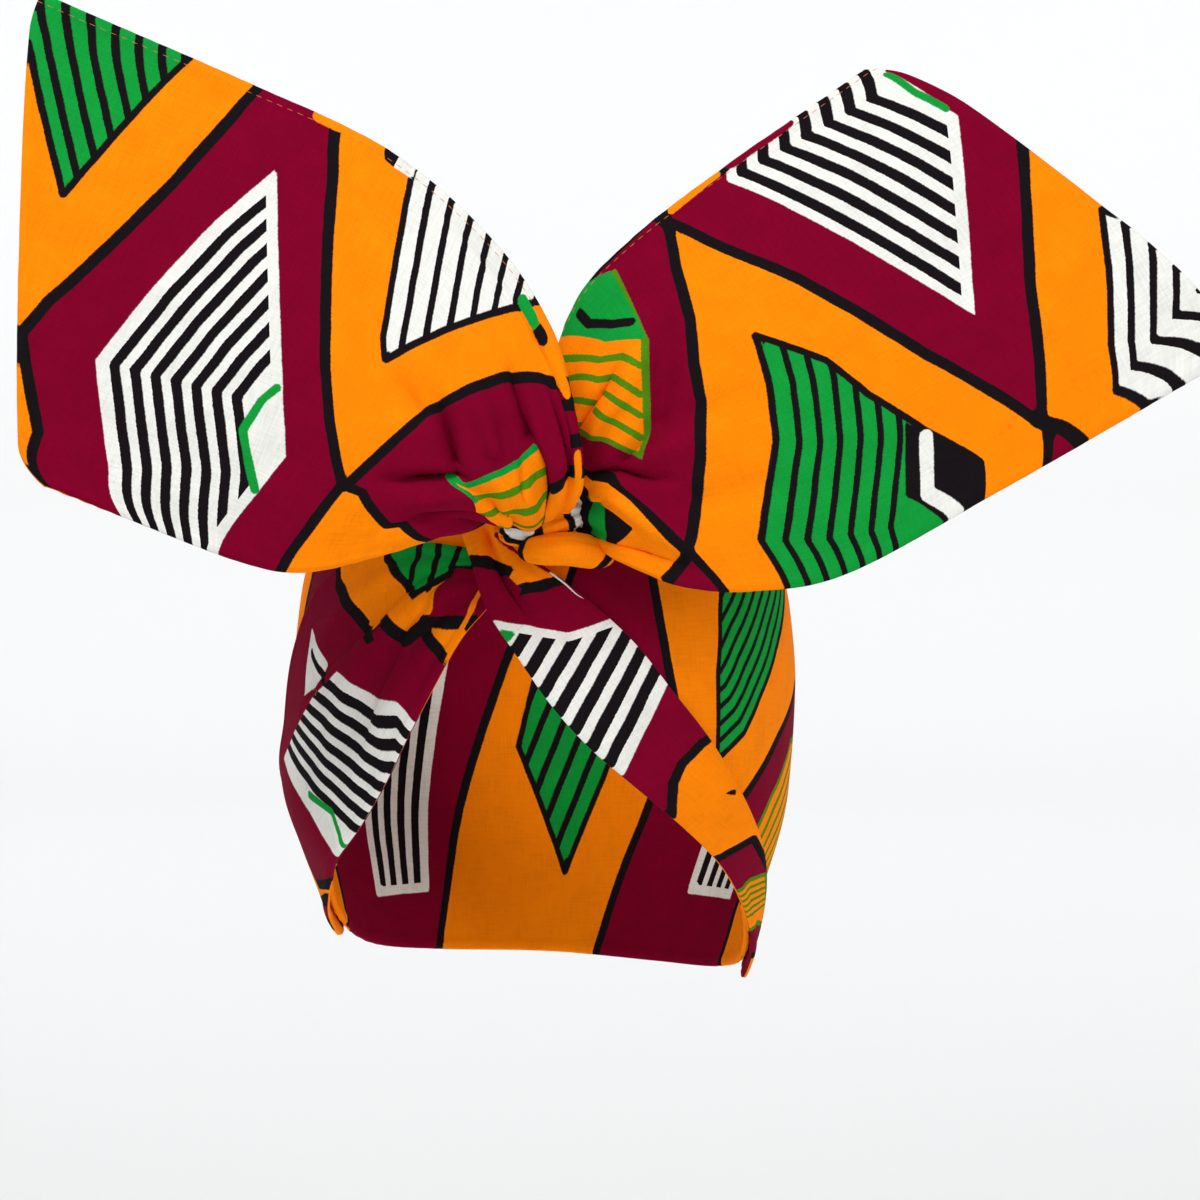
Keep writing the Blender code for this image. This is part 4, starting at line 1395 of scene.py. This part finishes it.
def stitched(name, line):
    """Sew along a line of points in millimetres and return the stitches as one piece."""
    sizes, _ = settings()
    tree = bpy.data.node_groups.get("seam_stitches") or stitch_tree()
    guide = bpy.data.meshes.new(name + "_guide")
    guide.from_pydata((line * MM).tolist(), [(k, k + 1) for k in range(len(line) - 1)], [])
    holder = add_object(name + "_guide", guide)
    modifier = holder.modifiers.new("stitches", "NODES")
    modifier.node_group = tree
    given = {"Pitch": sizes.stitch_pitch, "Length": sizes.stitch_length, "Radius": sizes.thread_radius,
             "Material": thread()}
    for item in tree.interface.items_tree:
        if item.in_out == "INPUT" and item.name in given:
            modifier[item.identifier] = given[item.name]
    graph = bpy.context.evaluated_depsgraph_get()
    mesh = bpy.data.meshes.new_from_object(holder.evaluated_get(graph))
    bpy.data.objects.remove(holder)
    bpy.data.meshes.remove(guide)
    if not mesh.vertices:
        raise RuntimeError("No stitch was laid along the seam of " + name)
    mesh.name = name
    mesh.shade_smooth()
    if not mesh.materials:
        mesh.materials.append(thread())
    piece = add_object(name, mesh)
    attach(piece, "root")
    return piece


def from_srgb(*levels):
    """Turn a colour as a screen shows it, 0 to 255, into linear light."""
    return tuple(v / 12.92 if v <= 0.04045 else ((v + 0.055) / 1.055) ** 2.4
                 for v in (level / 255.0 for level in levels))


def ink_property(label, *levels):
    """Return a colour setting for one of the print's inks."""
    return bpy.props.FloatVectorProperty(name=label, description=f"Colour of the {label.lower()} ink",
                                         subtype="COLOR", size=3, min=0.0, max=1.0,
                                         default=from_srgb(*levels))


def length_property(label, description, millimetres):
    """Return a length setting with its default in millimetres."""
    return bpy.props.FloatProperty(name=label, description=description, default=millimetres * MM,
                                   min=0.0, precision=5, subtype="DISTANCE", unit="LENGTH")


class HeadWrapSizes(bpy.types.PropertyGroup):
    """Sizes of the cloth, its seams and its print."""

    cloth_thickness: length_property("Cloth thickness", "Doubled cloth of the ears and the cuffs", 1.6)
    band_thickness: length_property("Band thickness", "Doubled cloth of the band", 1.8)
    wire_ridge: length_property("Wire ridge", "How far the wired seam stands proud of each face", 0.35)
    line_width: length_property("Line width", "Width of the black lines between the fields", 3.4)
    ink_bleed: length_property("Ink bleed", "Half the width over which an inked edge fades", 0.14)
    weave_pitch: length_property("Weave pitch", "Distance from one yarn to the next but one", 0.55)
    stitch_pitch: length_property("Stitch pitch", "Distance between the stitches of the closing seam", 3.2)
    stitch_length: length_property("Stitch length", "Length of thread that shows at each stitch", 1.9)
    thread_radius: length_property("Thread radius", "Half the thickness of the sewing thread", 0.09)


class HeadWrapColours(bpy.types.PropertyGroup):
    """Inks of the print and colour of the sewing thread."""

    maroon: ink_property("Maroon", 123, 0, 38)
    orange: ink_property("Orange", 255, 134, 4)
    green: ink_property("Green", 16, 150, 56)
    olive: ink_property("Olive", 78, 134, 16)
    black: ink_property("Black", 22, 17, 20)
    white: ink_property("White", 232, 232, 226)
    thread: ink_property("Thread", 214, 128, 52)


def settings():
    """Return the sizes and the colours that the sidebar shows."""
    scene = bpy.context.scene
    return scene.head_wrap_sizes, scene.head_wrap_colours


def cotton():
    """Return the printed cotton, made once."""
    return bpy.data.materials.get("printed_cotton") or printed_cotton(*settings())


def thread():
    """Return the sewing thread, made once."""
    sizes, colours = settings()
    return bpy.data.materials.get("sewing_thread") or thread_material("sewing_thread", sizes, colours.thread)


def looks():
    """Return how each sheet is laid: its thickness, what is under it, its waves and its seed."""
    sizes, _ = settings()
    cloth, band = sizes.cloth_thickness / MM, sizes.band_thickness / MM
    return {
        "left_ear": Look(cloth, under=0.0, wave=1.0, dimple=0.35, seed=11),
        "right_ear": Look(cloth, under=0.0, wave=1.1, dimple=0.35, seed=23),
        "left_cuff": Look(cloth, under=band, wave=0.0, dimple=0.2, seed=31),
        "right_cuff": Look(cloth, under=band, wave=0.0, dimple=0.2, seed=47),
        "head_band": Look(band, under=0.0, wave=0.0, dimple=0.15, seed=53),
    }


def laid_out(node):
    """Lay out the cloth of one sheet, with its creases."""
    look = looks()[node]
    if node in EARS:
        cloth = ear_surface(*EARS[node], look)
    elif node in CUFFS:
        cloth = cuff_surface(*CUFFS[node], look)
    else:
        cloth = band_surface(look)
    return creased(cloth, look.thickness, CREASES[node])


def finish_piece(piece, node):
    """Let a piece of printed cotton stand for its solid: give it the cotton, hide the solid and hang the
    piece from the root.
    """
    piece.data.materials.append(cotton())
    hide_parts(node)
    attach(piece, "root")


def dress_sheet(node, chart):
    """Make the cloth that stands for one node, print both its faces and, on an ear, sew its seam."""
    cloth, thickness = laid_out(node), looks()[node].thickness
    front = flattened(chart, flat_reader(cloth, thickness))
    if node in HIDDEN_STARTS:
        front = joined(front, repeated_print(cloth, HIDDEN_STARTS[node]))
    piece = sheet_piece(node + "_cloth", cloth, thickness, front)
    finish_piece(piece, node)
    if node in EARS:
        stitched(node + "_stitches", seam_line(cloth, thickness))


def add_backdrop():
    """Add the floor and the wall that it sweeps up into."""
    points = [(x, depth, FLOOR + rise) for x in (-BACKDROP_HALF_WIDTH, BACKDROP_HALF_WIDTH)
              for depth, rise in BACKDROP_SWEEP]
    count = len(BACKDROP_SWEEP)
    faces = [(k, k + count, k + count + 1, k + 1) for k in range(count - 1)]
    mesh = bpy.data.meshes.new("backdrop")
    mesh.from_pydata(points, [], faces)
    mesh.shade_smooth()
    mesh.materials.append(plain_material("backdrop_white", BACKDROP_COLOUR, BACKDROP_ROUGHNESS))
    add_object("backdrop", mesh)


def add_light(name, place, aim, size, power):
    """Add a round soft light that faces its aim."""
    light = bpy.data.lights.new(name, "AREA")
    light.shape = "DISK"
    light.size = size
    light.energy = power
    lamp = add_object(name, light)
    lamp.location = place
    right, back, up = np.subtract(aim, place)
    lamp.rotation_euler = (math.atan2(math.hypot(right, back), -up), 0.0,
                           math.atan2(back, right) - math.pi / 2.0)


def add_camera():
    """Add the camera at the photo's own place."""
    lens = bpy.data.cameras.new("camera")
    lens.lens = CAMERA_LENS
    lens.clip_start = CLIP_START
    camera = add_object("camera", lens)
    camera.location = CAMERA_PLACE
    camera.rotation_euler = (math.pi / 2.0, 0.0, 0.0)
    bpy.context.scene.camera = camera


class HEADWRAP_OT_band(bpy.types.Operator):
    """Make the band that goes round the sides and the back."""

    bl_idname = "headwrap.band"
    bl_label = "Band"

    def execute(self, context):
        dress_sheet("head_band", BAND_PRINT)
        return {"FINISHED"}


class HEADWRAP_OT_cuffs(bpy.types.Operator):
    """Make the two margins that are folded up in front, and the thread that hangs over one."""

    bl_idname = "headwrap.cuffs"
    bl_label = "Cuffs"

    def execute(self, context):
        dress_sheet("left_cuff", LEFT_CUFF_PRINT)
        dress_sheet("right_cuff", RIGHT_CUFF_PRINT)
        sizes, colours = settings()
        places = laid_on(laid_out("right_cuff"), looks()["right_cuff"].thickness, LOOSE_END, LOOSE_END_LIFT)
        path = tuple((share, *place) for share, place in zip(np.linspace(0.0, 1.0, len(places)), places))
        tail = roll_piece("loose_thread", LOOSE_THREAD._replace(path=path), BLANK)
        tail.data.materials.append(thread_material("loose_thread", sizes, colours.white))
        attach(tail, "root")
        return {"FINISHED"}


class HEADWRAP_OT_ears(bpy.types.Operator):
    """Make the two wired ends that stand up like ears."""

    bl_idname = "headwrap.ears"
    bl_label = "Ears"

    def execute(self, context):
        dress_sheet("left_ear", LEFT_EAR_PRINT)
        dress_sheet("right_ear", RIGHT_EAR_PRINT)
        return {"FINISHED"}


class HEADWRAP_OT_knot(bpy.types.Operator):
    """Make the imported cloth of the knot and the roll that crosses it."""

    bl_idname = "headwrap.knot"
    bl_label = "Knot"

    def execute(self, context):
        finish_piece(roll_piece("knot_twist_cloth", KNOT_TWIST, TWIST_PRINT), "knot_twist")
        finish_piece(roll_piece("knot_roll_cloth", KNOT_ROLL, ROLL_PRINT), "knot_roll")
        return {"FINISHED"}


class HEADWRAP_OT_stage(bpy.types.Operator):
    """Set the pale backdrop, the soft lights and the camera."""

    bl_idname = "headwrap.stage"
    bl_label = "Stage"

    def execute(self, context):
        add_backdrop()
        for light in LIGHTS:
            add_light(*light)
        world = bpy.data.worlds.new("studio")
        world.use_nodes = True
        background = world.node_tree.nodes["Background"]
        background.inputs["Color"].default_value = opaque((1.0, 1.0, 1.0))
        background.inputs["Strength"].default_value = WORLD_STRENGTH
        context.scene.world = world
        context.scene.view_settings.view_transform = "Standard"
        add_camera()
        return {"FINISHED"}


class HEADWRAP_PT_panel(bpy.types.Panel):
    """List the sizes, the colours and the pieces."""

    bl_idname = "HEADWRAP_PT_panel"
    bl_label = "Head wrap"
    bl_space_type = "VIEW_3D"
    bl_region_type = "UI"
    bl_category = "Head wrap"

    def draw(self, context):
        for group in (context.scene.head_wrap_sizes, context.scene.head_wrap_colours):
            box = self.layout.box()
            for name in group.__annotations__:
                box.prop(group, name)
        for operator in OPERATORS:
            self.layout.operator(operator.bl_idname)


OPERATORS = (HEADWRAP_OT_band, HEADWRAP_OT_cuffs, HEADWRAP_OT_ears, HEADWRAP_OT_knot, HEADWRAP_OT_stage)
CLASSES = (HeadWrapSizes, HeadWrapColours) + OPERATORS + (HEADWRAP_PT_panel,)


def register():
    """Register the classes and hang the settings on the scene."""
    for made in CLASSES:
        bpy.utils.register_class(made)
    bpy.types.Scene.head_wrap_sizes = bpy.props.PointerProperty(type=HeadWrapSizes)
    bpy.types.Scene.head_wrap_colours = bpy.props.PointerProperty(type=HeadWrapColours)


def unregister():
    """Take the settings off the scene and unregister the classes."""
    del bpy.types.Scene.head_wrap_colours
    del bpy.types.Scene.head_wrap_sizes
    for made in reversed(CLASSES):
        bpy.utils.unregister_class(made)


def main():
    register()
    bpy.ops.headwrap.band()
    bpy.ops.headwrap.cuffs()
    bpy.ops.headwrap.ears()
    bpy.ops.headwrap.knot()
    bpy.ops.headwrap.stage()


if __name__ == "__main__":
    main()
